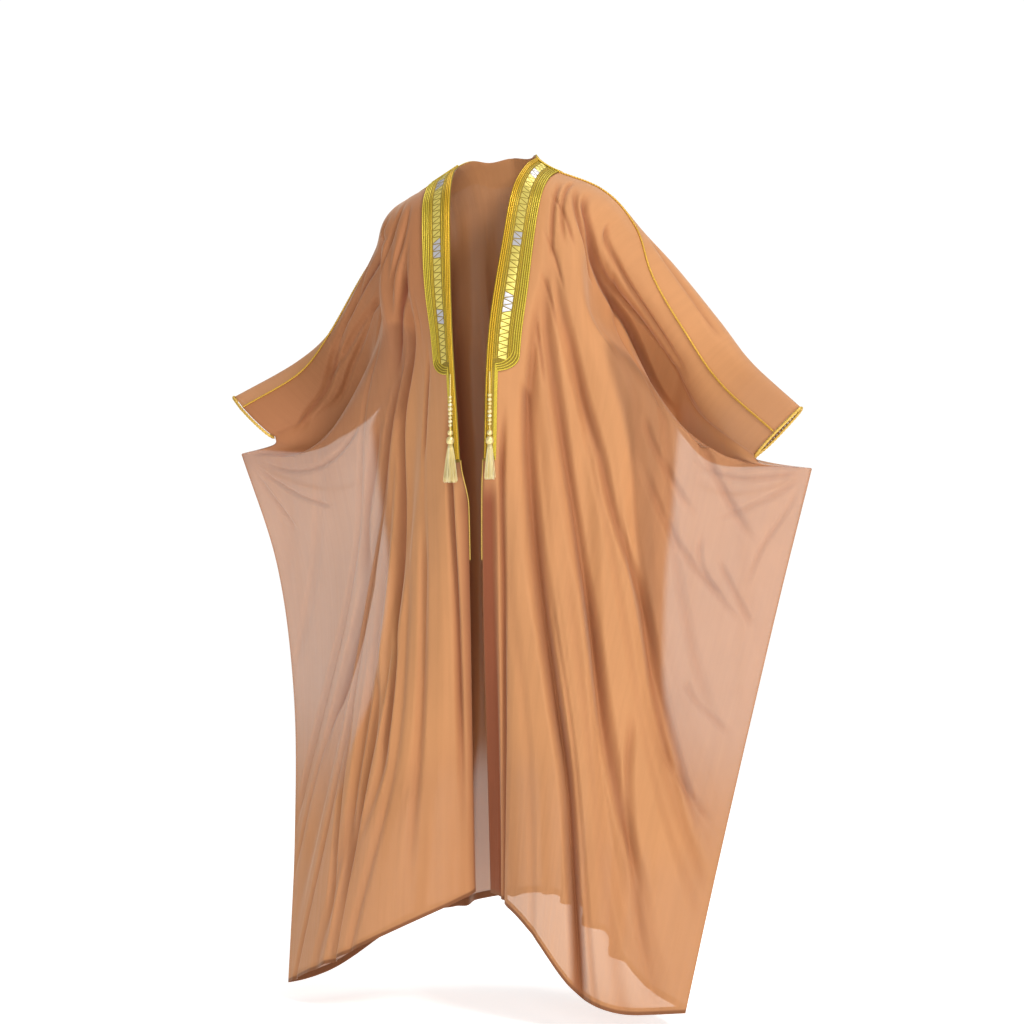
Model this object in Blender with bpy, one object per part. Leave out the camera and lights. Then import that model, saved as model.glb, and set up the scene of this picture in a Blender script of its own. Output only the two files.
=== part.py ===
"""A worn bisht: a wide sheer cloak, open down the front, with a gold band, piped seams and tassels.

Metres, +Z up. The wearer faces -Y and the wearer's left is +X. The origin is at the neck, where
the shoulders carry the cloak. Each panel is a grid of points: u runs across it, from the front edge
or the centre back (0) to the side seam (1), and v runs down it, from the shoulder seam (0) to the
hem (1).
"""

import math

import bmesh
import bpy
import numpy as np

# Cloth and seams
WALL = 0.0015
GAP = 0.0003

# Places on the cut
CUFF_V = 0.081
TUCK_V = 0.160
HAND_V = 0.260
NECK_SHARE = 0.10
CROWDING = 0.30
LEVEL_FROM = 0.88
EDGE_REACH = 0.20
SEAM_SPREAD = 0.0022
SEAM_STAYS = 0.12
SEAM_PLACES = np.array([0.94, 0.97, 1.00])
SLEEVE_TURNS = 5

# The wearer's right hand is held a little higher and the right shoulder a little lower.
HAND_LIFT = 0.045
SHOULDER_SLOPE = 0.045

# Trim
BAND_SHARE = 0.085
BAND_THICKNESS = 0.0016
BAND_END_V = 0.315
STRIP_END_V = 0.430
NAPE_BAND_V = 0.038
EDGE_CORD_RADIUS = 0.0012
EDGE_CORD_END_V = 0.560
PIPING_RADIUS = 0.0022
SEAM_CLEARANCE = 0.0008
CUFF_PIPING_RADIUS = 0.0032

# Panel grids: places down the panels, and across a front and across half of the back
SEAM_INSET_V = 0.0008
ROWS = (
    (SEAM_INSET_V, CUFF_V, 5),
    (CUFF_V, TUCK_V, 4),
    (TUCK_V, HAND_V, 3),
    (HAND_V, BAND_END_V, 1),
    (BAND_END_V, STRIP_END_V, 2),
    (STRIP_END_V, 1.0, 7),
)
FRONT_COLUMNS = 25
BAND_COLUMNS = 4
NAPE_COLUMNS = 3

# Tassels, measured down from the end of the band, on the wearer's left and right
TASSEL_CLEARANCE = 0.0070
TASSEL_DROP = (0.120, 0.116)
CORD_RADIUS = 0.0017
CORD_POINTS = 12
BEADS_FROM = 0.040
BEADS_LENGTH = 0.060
BEAD_COUNT = 8
BEAD_RADIUS = 0.0046
HEAD_RADIUS = 0.0075
HEAD_LENGTH = 0.016
SKIRT_LENGTH = (0.066, 0.072)
SKIRT_RADIUS = (0.0095, 0.0130)
TURNED_SIDES = 12

# Colours and finishes: base colour, roughness, metallic
FINISHES = {
    "cloth": ((0.60, 0.30, 0.13, 1.0), 0.75, 0.0),
    "band": ((0.60, 0.45, 0.06, 1.0), 0.45, 0.3),
    "piping": ((0.55, 0.38, 0.05, 1.0), 0.40, 0.4),
    "tassel": ((0.72, 0.58, 0.20, 1.0), 0.35, 0.4),
}

# The sleeve, as sections across the arm from the nape to the cuff: the centre, how far the section's
# top leans outward from upright, its half height and its half depth in front and behind, then, on
# the wearer's left and right, the angle (0 faces forward, 90 is the top) of the shoulder seam and
# of the fold under the arm, and the way from that fold to the crease behind it. "hang" is the same
# way on the back.
SLEEVE = [
    dict(u=-0.110, x=0.000, y=0.000, z=-0.100, lean=0, high=0.185, deep=0.118, rear=0.098,
         seam=(140, 140), fold=(12, 12), tuck=((0.000, -0.018, -0.105), (0.000, -0.018, -0.105)),
         hang=(0.000, 0.018, -0.105)),
    dict(u=-0.055, x=0.047, y=0.000, z=-0.102, lean=0, high=0.144, deep=0.118, rear=0.098,
         seam=(127, 127), fold=(12, 12), tuck=((0.000, -0.018, -0.105), (0.000, -0.018, -0.105)),
         hang=(0.000, 0.018, -0.105)),
    dict(u=0.000, x=0.080, y=0.000, z=-0.104, lean=0, high=0.104, deep=0.118, rear=0.098,
         seam=(90, 90), fold=(12, 12), tuck=((0.000, -0.018, -0.105), (0.000, -0.018, -0.105)),
         hang=(0.000, 0.018, -0.105)),
    dict(u=0.180, x=0.192, y=0.015, z=-0.142, lean=8, high=0.078, deep=0.104, rear=0.098,
         seam=(90, 90), fold=(5, 10), tuck=((0.000, -0.012, -0.105), (0.000, -0.012, -0.105)),
         hang=(0.000, 0.018, -0.105)),
    dict(u=0.325, x=0.226, y=0.055, z=-0.182, lean=38, high=0.062, deep=0.082, rear=0.085,
         seam=(78, 85), fold=(-30, 0), tuck=((-0.004, -0.008, -0.085), (-0.004, -0.006, -0.100)),
         hang=(-0.004, 0.020, -0.100)),
    dict(u=0.446, x=0.280, y=0.088, z=-0.238, lean=45, high=0.056, deep=0.070, rear=0.070,
         seam=(28, 70), fold=(-70, 0), tuck=((-0.010, 0.004, -0.060), (-0.018, 0.000, -0.090)),
         hang=(-0.012, 0.025, -0.090)),
    dict(u=0.640, x=0.360, y=0.113, z=-0.342, lean=48, high=0.060, deep=0.048, rear=0.058,
         seam=(4, 50), fold=(-85, -15), tuck=((-0.018, 0.006, -0.075), (-0.030, 0.010, -0.060)),
         hang=(-0.020, 0.030, -0.070)),
    dict(u=0.826, x=0.425, y=0.095, z=-0.420, lean=45, high=0.068, deep=0.036, rear=0.046,
         seam=(4, 30), fold=(-88, -60), tuck=((0.004, 0.010, -0.080), (0.000, 0.012, -0.070)),
         hang=(0.004, 0.026, -0.052)),
    dict(u=1.000, x=0.539, y=0.043, z=-0.493, lean=46, high=0.062, deep=0.020, rear=0.020,
         seam=(-3, 25), fold=(-90, -90), tuck=((0.012, 0.016, -0.015), (0.012, 0.016, -0.015)),
         hang=(0.012, 0.016, -0.015)),
]

# The skirt, as sections down the cloak: how far the fronts wrap round the body before they turn out
# to the side seam, the side seam, how far the fronts swell forward, the centre back, and how far
# the threads drift outward on the wearer's left and right.
SKIRT = [
    dict(v=0.26, wrap=1.0, x=0.593, y=0.085, z=-0.564, swell=0.020, back_y=0.150, back_z=-0.345, drift=(0.05, 0.05)),
    dict(v=0.42, wrap=0.8, x=0.528, y=0.114, z=-0.785, swell=0.035, back_y=0.170, back_z=-0.590, drift=(0.00, 0.05)),
    dict(v=0.60, wrap=0.5, x=0.476, y=0.087, z=-1.035, swell=0.055, back_y=0.195, back_z=-0.850, drift=(-0.06, 0.10)),
    dict(v=0.80, wrap=0.2, x=0.435, y=0.012, z=-1.305, swell=0.075, back_y=0.220, back_z=-1.130, drift=(-0.12, 0.25)),
    dict(v=1.00, wrap=0.0, x=0.402, y=-0.081, z=-1.571, swell=0.090, back_y=0.240, back_z=-1.420, drift=(-0.18, 0.40)),
]

# The front edge, on the wearer's left and right
EDGE = [
    dict(v=0.000, x=(0.080, 0.078), y=0.000, z=0.000),
    dict(v=0.040, x=(0.079, 0.066), y=-0.052, z=-0.020),
    dict(v=0.081, x=(0.074, 0.053), y=-0.098, z=-0.062),
    dict(v=0.160, x=(0.064, 0.040), y=-0.130, z=-0.170),
    dict(v=0.260, x=(0.040, 0.032), y=-0.138, z=-0.325),
    dict(v=0.420, x=(0.026, 0.022), y=-0.128, z=-0.555),
    dict(v=0.600, x=(0.014, 0.018), y=-0.112, z=-0.810),
    dict(v=0.800, x=(0.008, 0.012), y=-0.096, z=-1.092),
    dict(v=1.000, x=(0.006, 0.006), y=-0.082, z=-1.376),
]

# The main folds, as furrows on one panel: where each starts and ends, its place across the panel at
# the top, middle and end, its half width across the panel, its depth, and how far its floor slips
# sideways under the next fold.
FURROWS = [
    dict(on="front", hand=0, start=0.30, end=1.30, at=(0.035, 0.080, 0.105), half=0.050, depth=0.014, slip=0.000),
    dict(on="front", hand=0, start=0.12, end=1.30, at=(0.090, 0.185, 0.660), half=0.060, depth=0.032, slip=0.000),
    dict(on="front", hand=0, start=0.10, end=1.30, at=(0.110, 0.390, 0.950), half=0.065, depth=0.035, slip=0.000),
    dict(on="front", hand=0, start=0.10, end=0.95, at=(0.100, 0.660, 1.150), half=0.065, depth=0.028, slip=0.000),
    dict(on="front", hand=1, start=0.30, end=1.30, at=(0.040, 0.040, 0.020), half=0.050, depth=0.014, slip=0.000),
    dict(on="front", hand=1, start=0.14, end=1.30, at=(0.070, 0.300, 0.620), half=0.065, depth=0.035, slip=0.000),
    dict(on="front", hand=1, start=0.16, end=1.00, at=(0.100, 0.620, 1.050), half=0.065, depth=0.028, slip=0.000),
    dict(on="back", hand=0, start=0.14, end=1.30, at=(0.10, 0.120, 0.130), half=0.065, depth=0.035, slip=0.000),
    dict(on="back", hand=0, start=0.12, end=1.30, at=(0.22, 0.290, 0.320), half=0.070, depth=0.045, slip=0.000),
    dict(on="back", hand=0, start=0.24, end=1.20, at=(0.38, 0.460, 0.500), half=0.065, depth=0.030, slip=0.000),
    dict(on="back", hand=1, start=0.16, end=1.30, at=(0.06, 0.070, 0.080), half=0.060, depth=0.032, slip=0.000),
    dict(on="back", hand=1, start=0.10, end=1.30, at=(0.18, 0.250, 0.270), half=0.075, depth=0.048, slip=0.000),
    dict(on="back", hand=1, start=0.20, end=1.25, at=(0.33, 0.420, 0.460), half=0.065, depth=0.034, slip=0.000),
]


def spline(knots, values, at):
    """A smooth curve through values (one row for each knot), read at the places in at."""
    knots = np.asarray(knots, float)
    values = np.asarray(values, float)
    trailing = [1] * (values.ndim - 1)
    slopes = np.diff(values, axis=0) / np.diff(knots).reshape(-1, *trailing)
    tangents = np.concatenate([slopes[:1], (slopes[1:] + slopes[:-1]) / 2, slopes[-1:]])
    i = np.clip(np.searchsorted(knots, at, side="right") - 1, 0, len(knots) - 2)
    span = (knots[i + 1] - knots[i]).reshape(-1, *trailing)
    t = (at - knots[i]).reshape(-1, *trailing) / span
    return (
        (2 * t**3 - 3 * t**2 + 1) * values[i]
        + (t**3 - 2 * t**2 + t) * span * tangents[i]
        + (3 * t**2 - 2 * t**3) * values[i + 1]
        + (t**3 - t**2) * span * tangents[i + 1]
    )


def smooth_step(x):
    x = np.clip(x, 0.0, 1.0)
    return x * x * (3.0 - 2.0 * x)


def across(name, u, hand=None):
    """One column of SLEEVE, read at the places u across the cloak."""
    values = [row[name] if hand is None else row[name][hand] for row in SLEEVE]
    return spline([row["u"] for row in SLEEVE], values, u)


def sleeve_point(u, degrees):
    """The point of each section across the sleeve that lies at an angle from its front."""
    angle = np.radians(degrees)
    depth = np.where(np.cos(angle) > 0, across("deep", u), across("rear", u))
    rise = across("high", u) * np.sin(angle)
    lean = np.radians(across("lean", u))
    x = across("x", u) + rise * np.sin(lean)
    y = across("y", u) - depth * np.cos(angle)
    z = across("z", u) + rise * np.cos(lean)
    return np.stack([x, y, z], axis=1)


def sleeve_rows(u, hand, back):
    """A panel's rows from the shoulder seam to the crease behind the fold under the arm."""
    seam = across("seam", u, hand)
    fold = across("fold", u, hand)
    tuck = across("tuck", u, hand)
    if back:
        fold = 180.0 + 90.0 * np.maximum(u, 0.0) ** 3
        tuck = across("hang", u)
    rows = [sleeve_point(u, seam + (fold - seam) * turn) for turn in np.linspace(0.0, 1.0, SLEEVE_TURNS)]
    return rows + [rows[-1] + tuck]


def edge_line(v, hand):
    values = [[row["x"][hand], row["y"], row["z"]] for row in EDGE]
    return spline([row["v"] for row in EDGE], values, v)


def skirt_row(row, u, hand, back):
    """One section down the cloak, from the front edge or the centre back to the side seam."""
    t = u + row["drift"][hand] * u * (1.0 - u) + CROWDING * np.sin(2 * math.pi * u) / (2 * math.pi)
    drop = smooth_step(u / LEVEL_FROM)
    if hand and not back:
        # On the wearer's right the hem falls in a straight line.
        drop += (np.clip(t, 0.0, 1.0) - drop) * (1.0 - row["wrap"])
    if back:
        x = row["x"] * t
        y = row["y"] + (row["back_y"] - row["y"]) * np.cos(math.pi / 2 * t) ** 0.9
        z = row["back_z"] + (row["z"] - row["back_z"]) * drop
    else:
        edge = edge_line(np.array([row["v"]]), hand)[0]
        x = edge[0] + (row["x"] - edge[0]) * t
        wrapped = (1.0 - row["wrap"]) * t + row["wrap"] * np.sin(math.pi / 2 * t)
        y = edge[1] + (row["y"] - edge[1]) * wrapped - row["swell"] * np.sin(math.pi * t)
        z = edge[2] + (row["z"] - edge[2]) * drop
    return np.stack([x, y, z], axis=1)


def seam_places(u, back):
    """Places along the shoulder seam: the back's begin at the nape, short of the seam."""
    return (u - NECK_SHARE) / (1.0 - NECK_SHARE) if back else u


def smooth_panel(u, v, hand, back):
    """A panel before its folds: an array of len(v) by len(u) by 3, as if worn on the left."""
    seam_u = seam_places(u, back)
    upper = sleeve_rows(seam_u, hand, back)
    skirt = [skirt_row(row, u, hand, back) for row in SKIRT]
    places = [*np.linspace(0.0, CUFF_V, SLEEVE_TURNS), TUCK_V] + [row["v"] for row in SKIRT]
    points = spline(places, np.array(upper + skirt), v)
    # Along the sleeve the fold and the grip of the hand are creases, so each stretch is shaped apart.
    parts = [
        spline(places[:SLEEVE_TURNS], np.array(upper[:SLEEVE_TURNS]), v),
        spline(places[SLEEVE_TURNS - 1 : SLEEVE_TURNS + 2], np.array(upper[-2:] + skirt[:1]), v),
        spline(places[SLEEVE_TURNS + 1 :], np.array(skirt), v),
    ]
    creased = np.where((v < CUFF_V)[:, None, None], parts[0], parts[1])
    creased = np.where((v < HAND_V)[:, None, None], creased, parts[2])
    points += (creased - points) * smooth_step((u - 0.35) / 0.4)[None, :, None]
    if not back:
        reach = np.clip(1.0 - u / EDGE_REACH, 0.0, 1.0) ** 2
        start = np.zeros(1)
        edge_rows = sleeve_rows(start, hand, False) + [skirt_row(row, start, hand, False) for row in SKIRT]
        shift = edge_line(v, hand) - spline(places, np.array(edge_rows), v)[:, 0]
        points += shift[:, None, :] * reach[None, :, None]
    return points


def unit(vectors):
    return vectors / np.maximum(np.linalg.norm(vectors, axis=-1, keepdims=True), 1e-9)


def grid_normals(points):
    """The outward normal at each point of a panel, and the direction across it."""
    run = unit(np.gradient(points, axis=1))
    fall = unit(np.gradient(points, axis=0))
    return unit(np.cross(fall, run)), run


def panel(u, v, hand, back=False):
    """A panel's middle surface with its folds, set on its side of the wearer."""
    points = smooth_panel(u, v, hand, back)
    normals, run = grid_normals(points)
    side = -1.0 if back else 1.0
    for furrow in FURROWS:
        if furrow["on"] != ("back" if back else "front") or furrow["hand"] != hand:
            continue
        way = (v - furrow["start"]) / (1.0 - furrow["start"])
        place = spline([0.0, 0.5, 1.0], furrow["at"], np.clip(way, 0.0, 1.0))
        grow = smooth_step(way * 2.2) * smooth_step((furrow["end"] - v) * 4.0)
        profile = np.clip(1.0 - np.abs((u[None, :] - place[:, None]) / furrow["half"]), 0.0, 1.0)
        profile = smooth_step(profile) * grow[:, None] * smooth_step((1.0 - u) / SEAM_STAYS)
        points -= (side * furrow["depth"] * profile)[..., None] * normals
        points += (furrow["slip"] * profile)[..., None] * run
    # The two cloths lie face to face along the side seam.
    seam_u = seam_places(u, back)
    facing = grid_normals(smooth_panel(SEAM_PLACES, v, hand, False))[0][:, -1]
    apart = np.outer(smooth_step((v - CUFF_V) * 40.0 + 0.5), seam_u**12) * SEAM_SPREAD
    points += side * apart[..., None] * facing[:, None, :]
    fade = 1.0 - smooth_step((v - HAND_V) / (1.0 - HAND_V))
    lift = np.outer(fade, np.maximum(seam_u, 0.0) ** 2 * HAND_LIFT)
    shoulder = fade[:, None] * SHOULDER_SLOPE * points[..., 0]
    points[..., 2] += (lift - shoulder) if hand else (shoulder - lift)
    if hand:
        points[..., 0] *= -1.0
    return points


def rows_of(stretches):
    """Places down a panel: each stretch runs from one place to the next in so many steps."""
    places = [np.linspace(start, end, steps + 1)[:-1] for start, end, steps in stretches]
    return np.concatenate([*places, [1.0]])


def front_columns():
    """Places across a front: the band's, then the rest, with more of them at the cuff."""
    band = np.linspace(0.0, BAND_SHARE, BAND_COLUMNS)
    rest = np.linspace(0.0, 1.0, FRONT_COLUMNS - BAND_COLUMNS + 1)
    return np.concatenate([band[:-1], BAND_SHARE + (1.0 - BAND_SHARE) * rest])


def back_columns():
    """Places across half of the back: the nape's, then those of the front it is sewn to."""
    nape = np.linspace(0.0, NECK_SHARE, NAPE_COLUMNS)
    return np.concatenate([nape[:-1], NECK_SHARE + (1.0 - NECK_SHARE) * front_columns()])


def finish(obj, name):
    colour, roughness, metallic = FINISHES[name]
    material = bpy.data.materials.get(name) or bpy.data.materials.new(name)
    material.use_nodes = True
    shader = material.node_tree.nodes["Principled BSDF"]
    shader.inputs["Base Color"].default_value = colour
    shader.inputs["Roughness"].default_value = roughness
    shader.inputs["Metallic"].default_value = metallic
    obj.data.materials.append(material)
    return obj


def mesh_object(name, vertices, faces, material):
    mesh = bpy.data.meshes.new(name)
    mesh.from_pydata(np.asarray(vertices).tolist(), [], faces)
    mesh.validate()
    body = bmesh.new()
    body.from_mesh(mesh)
    bmesh.ops.recalc_face_normals(body, faces=body.faces)
    body.to_mesh(mesh)
    body.free()
    mesh.shade_smooth()
    obj = bpy.data.objects.new(name, mesh)
    bpy.context.scene.collection.objects.link(obj)
    return finish(obj, material)


def wall(name, points, normals, lift, thickness, material):
    """A closed wall on a grid of points, its middle surface moved out along the normals by lift."""
    rows, columns = points.shape[:2]
    layers = [points + normals * (lift + side * thickness / 2) for side in (1.0, -1.0)]
    index = np.arange(2 * rows * columns).reshape(2, rows, columns)
    faces = []
    for layer in index:
        for i in range(rows - 1):
            for j in range(columns - 1):
                a, b, c, d = layer[i, j], layer[i + 1, j], layer[i + 1, j + 1], layer[i, j + 1]
                faces += [(a, b, c), (a, c, d)]
    ring = [(i, 0) for i in range(rows)]
    ring += [(rows - 1, j) for j in range(1, columns)]
    ring += [(i, columns - 1) for i in range(rows - 2, -1, -1)]
    ring += [(0, j) for j in range(columns - 2, 0, -1)]
    for (i, j), (k, m) in zip(ring, ring[1:] + ring[:1]):
        a, b, c, d = index[0, i, j], index[0, k, m], index[1, k, m], index[1, i, j]
        faces += [(a, b, c), (a, c, d)]
    faces = [tuple(int(corner) for corner in face) for face in faces]
    return mesh_object(name, np.concatenate(layers).reshape(-1, 3), faces, material)


def inset(points, start, end):
    """A strip's points, with its first and last rows moved in along it by the lengths given."""
    points = points.copy()
    points[0] += unit(points[1] - points[0]) * start
    points[-1] += unit(points[-2] - points[-1]) * end
    return points


def tube(name, path, radius, material, closed=False):
    """A cord or piping along a path, as a curve with round section."""
    curve = bpy.data.curves.new(name, "CURVE")
    curve.dimensions = "3D"
    curve.bevel_depth = radius
    curve.bevel_resolution = 2
    curve.use_fill_caps = True
    line = curve.splines.new("POLY")
    line.points.add(len(path) - 1)
    line.points.foreach_set("co", np.column_stack([path, np.ones(len(path))]).ravel())
    line.use_cyclic_u = closed
    obj = bpy.data.objects.new(name, curve)
    bpy.context.scene.collection.objects.link(obj)
    return finish(obj, material)


def turned_solid(name, top, profile, material):
    """A turned piece with no bore, hung at top: profile holds (radius, drop) pairs down its side."""
    body = bmesh.new()
    rings = []
    for radius, drop in profile:
        centre = (top[0], top[1], top[2] - drop)
        ring = bmesh.ops.create_circle(body, segments=TURNED_SIDES, radius=radius)["verts"]
        bmesh.ops.translate(body, verts=ring, vec=centre)
        rings.append(ring)
    for above, below in zip(rings, rings[1:]):
        for side in range(TURNED_SIDES):
            after = (side + 1) % TURNED_SIDES
            body.faces.new((above[side], below[side], below[after], above[after]))
    body.faces.new(rings[0])
    body.faces.new(rings[-1])
    bmesh.ops.recalc_face_normals(body, faces=body.faces)
    mesh = bpy.data.meshes.new(name)
    body.to_mesh(mesh)
    body.free()
    obj = bpy.data.objects.new(name, mesh)
    bpy.context.scene.collection.objects.link(obj)
    return finish(obj, material)


def turned(name, top, profile, material):
    """A turned piece with a bore, hung at top: profile holds (radius, drop) pairs round its section."""
    angles = np.arange(TURNED_SIDES) * 2 * math.pi / TURNED_SIDES
    vertices = [
        (top[0] + radius * math.cos(angle), top[1] + radius * math.sin(angle), top[2] - drop)
        for radius, drop in profile
        for angle in angles
    ]
    faces = []
    count = len(profile)
    for ring in range(count):
        for side in range(TURNED_SIDES):
            after = (side + 1) % TURNED_SIDES
            a, b = ring * TURNED_SIDES + side, ring * TURNED_SIDES + after
            c = (ring + 1) % count * TURNED_SIDES + after
            d = (ring + 1) % count * TURNED_SIDES + side
            faces.append((a, b, c, d))
    return mesh_object(name, vertices, faces, material)


def outward(points, sign):
    """Normals that point away from the wearer: sign is -1 where the grid runs the other way."""
    return grid_normals(points)[0] * sign


def shoulder_piping(hand, side):
    """The piping over a shoulder seam, from the band to the cuff."""
    v = rows_of(ROWS)
    front = panel(front_columns(), v, hand)
    back = panel(back_columns(), v, hand, back=True)[:, NAPE_COLUMNS - 1 :]
    sign = -1.0 if hand else 1.0
    up = unit(outward(front, sign)[0] + outward(back, -sign)[0])
    path = (front[0] + back[0]) / 2 + up * (WALL / 2 + SEAM_CLEARANCE + PIPING_RADIUS)
    tube(f"shoulder_piping_{side}", path[BAND_COLUMNS:], PIPING_RADIUS, "piping")


def front_pieces(hand, side):
    """One front with its band, strip, edge cord and shoulder piping. Returns the front's points."""
    v = rows_of(ROWS)
    u = front_columns()
    points = panel(u, v, hand)
    normals = outward(points, -1.0 if hand else 1.0)
    wall(f"front_{side}", points, normals, 0.0, WALL, "cloth")

    band_end = int(np.argmin(abs(v - BAND_END_V))) + 1
    strip_end = int(np.argmin(abs(v - STRIP_END_V))) + 1
    cord_end = int(np.argmin(abs(v - EDGE_CORD_END_V))) + 1
    lift = WALL / 2 + GAP + BAND_THICKNESS / 2
    band = inset(points[:band_end, :BAND_COLUMNS], GAP, GAP / 2)
    wall(f"band_{side}", band, normals[:band_end, :BAND_COLUMNS], lift, BAND_THICKNESS, "band")
    strip = inset(points[band_end - 1 : strip_end, :2], GAP / 2, 0.0)
    wall(f"strip_{side}", strip, normals[band_end - 1 : strip_end, :2], lift, BAND_THICKNESS, "band")

    edge = slice(strip_end - 1, cord_end)
    away = unit(points[edge, 0] - points[edge, 1])
    edge_path = points[edge, 0] + away * (EDGE_CORD_RADIUS + GAP)
    tube(f"edge_cord_{side}", edge_path, EDGE_CORD_RADIUS, "piping")
    shoulder_piping(hand, side)
    return points


def back_pieces():
    """The back, one piece from side seam to side seam, with the band at the nape."""
    v = rows_of(ROWS)
    half = back_columns()
    left = panel(half, v, 0, back=True)
    right = panel(half, v, 1, back=True)
    left[:, 0] = right[:, 0] = (left[:, 0] + right[:, 0]) / 2
    points = np.concatenate([right[:, :0:-1], left], axis=1)
    normals = outward(points, -1.0)
    wall("back", points, normals, 0.0, WALL, "cloth")

    centre = len(half) - 1
    reach = NAPE_COLUMNS + BAND_COLUMNS - 2
    columns = slice(centre - reach, centre + reach + 1)
    rows = int(np.argmin(abs(v - NAPE_BAND_V))) + 1
    band = inset(points[:rows, columns], GAP, 0.0)
    lift = WALL / 2 + GAP + BAND_THICKNESS / 2
    wall("band_back", band, normals[:rows, columns], lift, BAND_THICKNESS, "band")
    return left, right


def cuff_piping(front, back, side):
    """The piping round a cuff: down the front's edge and up the back's."""
    rows = int(np.argmin(abs(rows_of(ROWS) - CUFF_V))) + 1
    halves = []
    for points in (front, back):
        away = unit(points[:rows, -1] - points[:rows, -2])
        halves.append(points[:rows, -1] + away * (CUFF_PIPING_RADIUS + 3 * GAP))
    ring = np.concatenate([halves[0], halves[1][-2:0:-1]])
    tube(f"cuff_piping_{side}", ring, CUFF_PIPING_RADIUS, "piping", closed=True)


def tassel(hand, side):
    """A cord from the end of the band, its beads, the tassel's head and its skirt of thread."""
    front = panel(np.linspace(0.0, BAND_SHARE, BAND_COLUMNS), rows_of(ROWS), hand)
    end = int(np.argmin(abs(rows_of(ROWS) - BAND_END_V)))
    top = (front[end, 0] + front[end, 1]) / 2 + np.array([0.0, -TASSEL_CLEARANCE, 0.0])
    drop = TASSEL_DROP[hand]
    path = top + np.outer(np.linspace(0.0, drop, CORD_POINTS), [0.0, 0.0, -1.0])
    tube(f"tassel_cord_{side}", path, CORD_RADIUS, "tassel")

    bore = CORD_RADIUS + GAP * 2
    turns = np.linspace(0.0, 1.0, BEAD_COUNT * 4 + 1)
    outer = [
        (bore + 0.0006 + (BEAD_RADIUS - bore) * abs(math.sin(math.pi * BEAD_COUNT * turn)) ** 0.6,
         BEADS_FROM + BEADS_LENGTH * turn)
        for turn in turns
    ]
    inner = [(bore, BEADS_FROM + BEADS_LENGTH), (bore, BEADS_FROM)]
    turned(f"tassel_beads_{side}", top, outer + inner, "tassel")

    head_top = drop + GAP
    bulge = [
        (HEAD_RADIUS * max(math.sin(angle), 0.2), head_top + HEAD_LENGTH * (1 - math.cos(angle)) / 2)
        for angle in np.linspace(0.0, math.pi, 9)
    ]
    turned_solid(f"tassel_head_{side}", top, bulge, "tassel")
    skirt_top = head_top + HEAD_LENGTH + GAP
    length, radius = SKIRT_LENGTH[hand], SKIRT_RADIUS[hand]
    flare = [
        (HEAD_RADIUS * 0.75 + (radius - HEAD_RADIUS * 0.75) * way**0.7, skirt_top + length * way)
        for way in np.linspace(0.0, 1.0, 6)
    ]
    turned_solid(f"tassel_skirt_{side}", top, flare, "tassel")


def main():
    for obj in list(bpy.data.objects):
        bpy.data.objects.remove(obj, do_unlink=True)
    sides = ("left", "right")
    fronts = [front_pieces(hand, side) for hand, side in enumerate(sides)]
    backs = back_pieces()
    for hand, side in enumerate(sides):
        cuff_piping(fronts[hand], backs[hand], side)
        tassel(hand, side)


if __name__ == "__main__":
    main()
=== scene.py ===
"""A worn bisht: fine sheer cloth, gold embroidery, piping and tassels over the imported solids.

Metres, +Z up. The wearer faces -Y and the wearer's left is +X. Each panel is a grid of points: u
runs across it, from the front edge or the centre back (0) to the side seam (1), and v runs down it,
from the shoulder seam (0) to the hem (1). hand is 0 on the wearer's left and 1 on the right.
"""

import math

import bpy
import numpy as np
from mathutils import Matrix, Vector


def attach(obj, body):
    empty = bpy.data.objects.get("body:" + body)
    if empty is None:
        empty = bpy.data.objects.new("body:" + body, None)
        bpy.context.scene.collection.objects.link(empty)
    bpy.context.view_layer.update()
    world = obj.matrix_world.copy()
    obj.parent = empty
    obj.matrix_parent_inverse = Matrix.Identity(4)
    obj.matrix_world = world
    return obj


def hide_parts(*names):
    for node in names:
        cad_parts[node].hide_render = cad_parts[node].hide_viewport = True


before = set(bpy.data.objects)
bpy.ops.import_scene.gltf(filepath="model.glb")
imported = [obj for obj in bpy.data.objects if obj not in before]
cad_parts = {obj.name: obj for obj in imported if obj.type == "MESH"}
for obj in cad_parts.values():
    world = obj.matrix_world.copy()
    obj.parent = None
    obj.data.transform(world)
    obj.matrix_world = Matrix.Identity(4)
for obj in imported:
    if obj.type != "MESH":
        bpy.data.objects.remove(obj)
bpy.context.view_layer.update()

# Cloth and seams
WALL = 0.0015
GAP = 0.0003
SEAM_INSET_V = 0.0008
SEAM_CLOSE = 0.0006
SEAM_STAYS = 0.12
SEAM_PLACES = np.array([0.94, 0.97, 1.00])

# Places on the cut
CUFF_V = 0.081
TUCK_V = 0.160
HAND_V = 0.260
NECK_SHARE = 0.10
CROWDING = 0.30
LEVEL_FROM = 0.88
EDGE_REACH = 0.20
SLEEVE_TURNS = 5

# The wearer's right hand is held a little higher and the right shoulder a little lower.
HAND_LIFT = 0.045
SHOULDER_SLOPE = 0.045

# Trim
BAND_SHARE = 0.085
BAND_THICKNESS = 0.0016
BAND_LIFT = WALL / 2 + GAP + BAND_THICKNESS
BAND_END_V = 0.315
STRIP_END_V = 0.430
NAPE_BAND_V = 0.038
EDGE_CORD_RADIUS = 0.0012
EDGE_CORD_END_V = 0.560
PIPING_RADIUS = 0.0022
CUFF_PIPING_RADIUS = 0.0032

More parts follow.
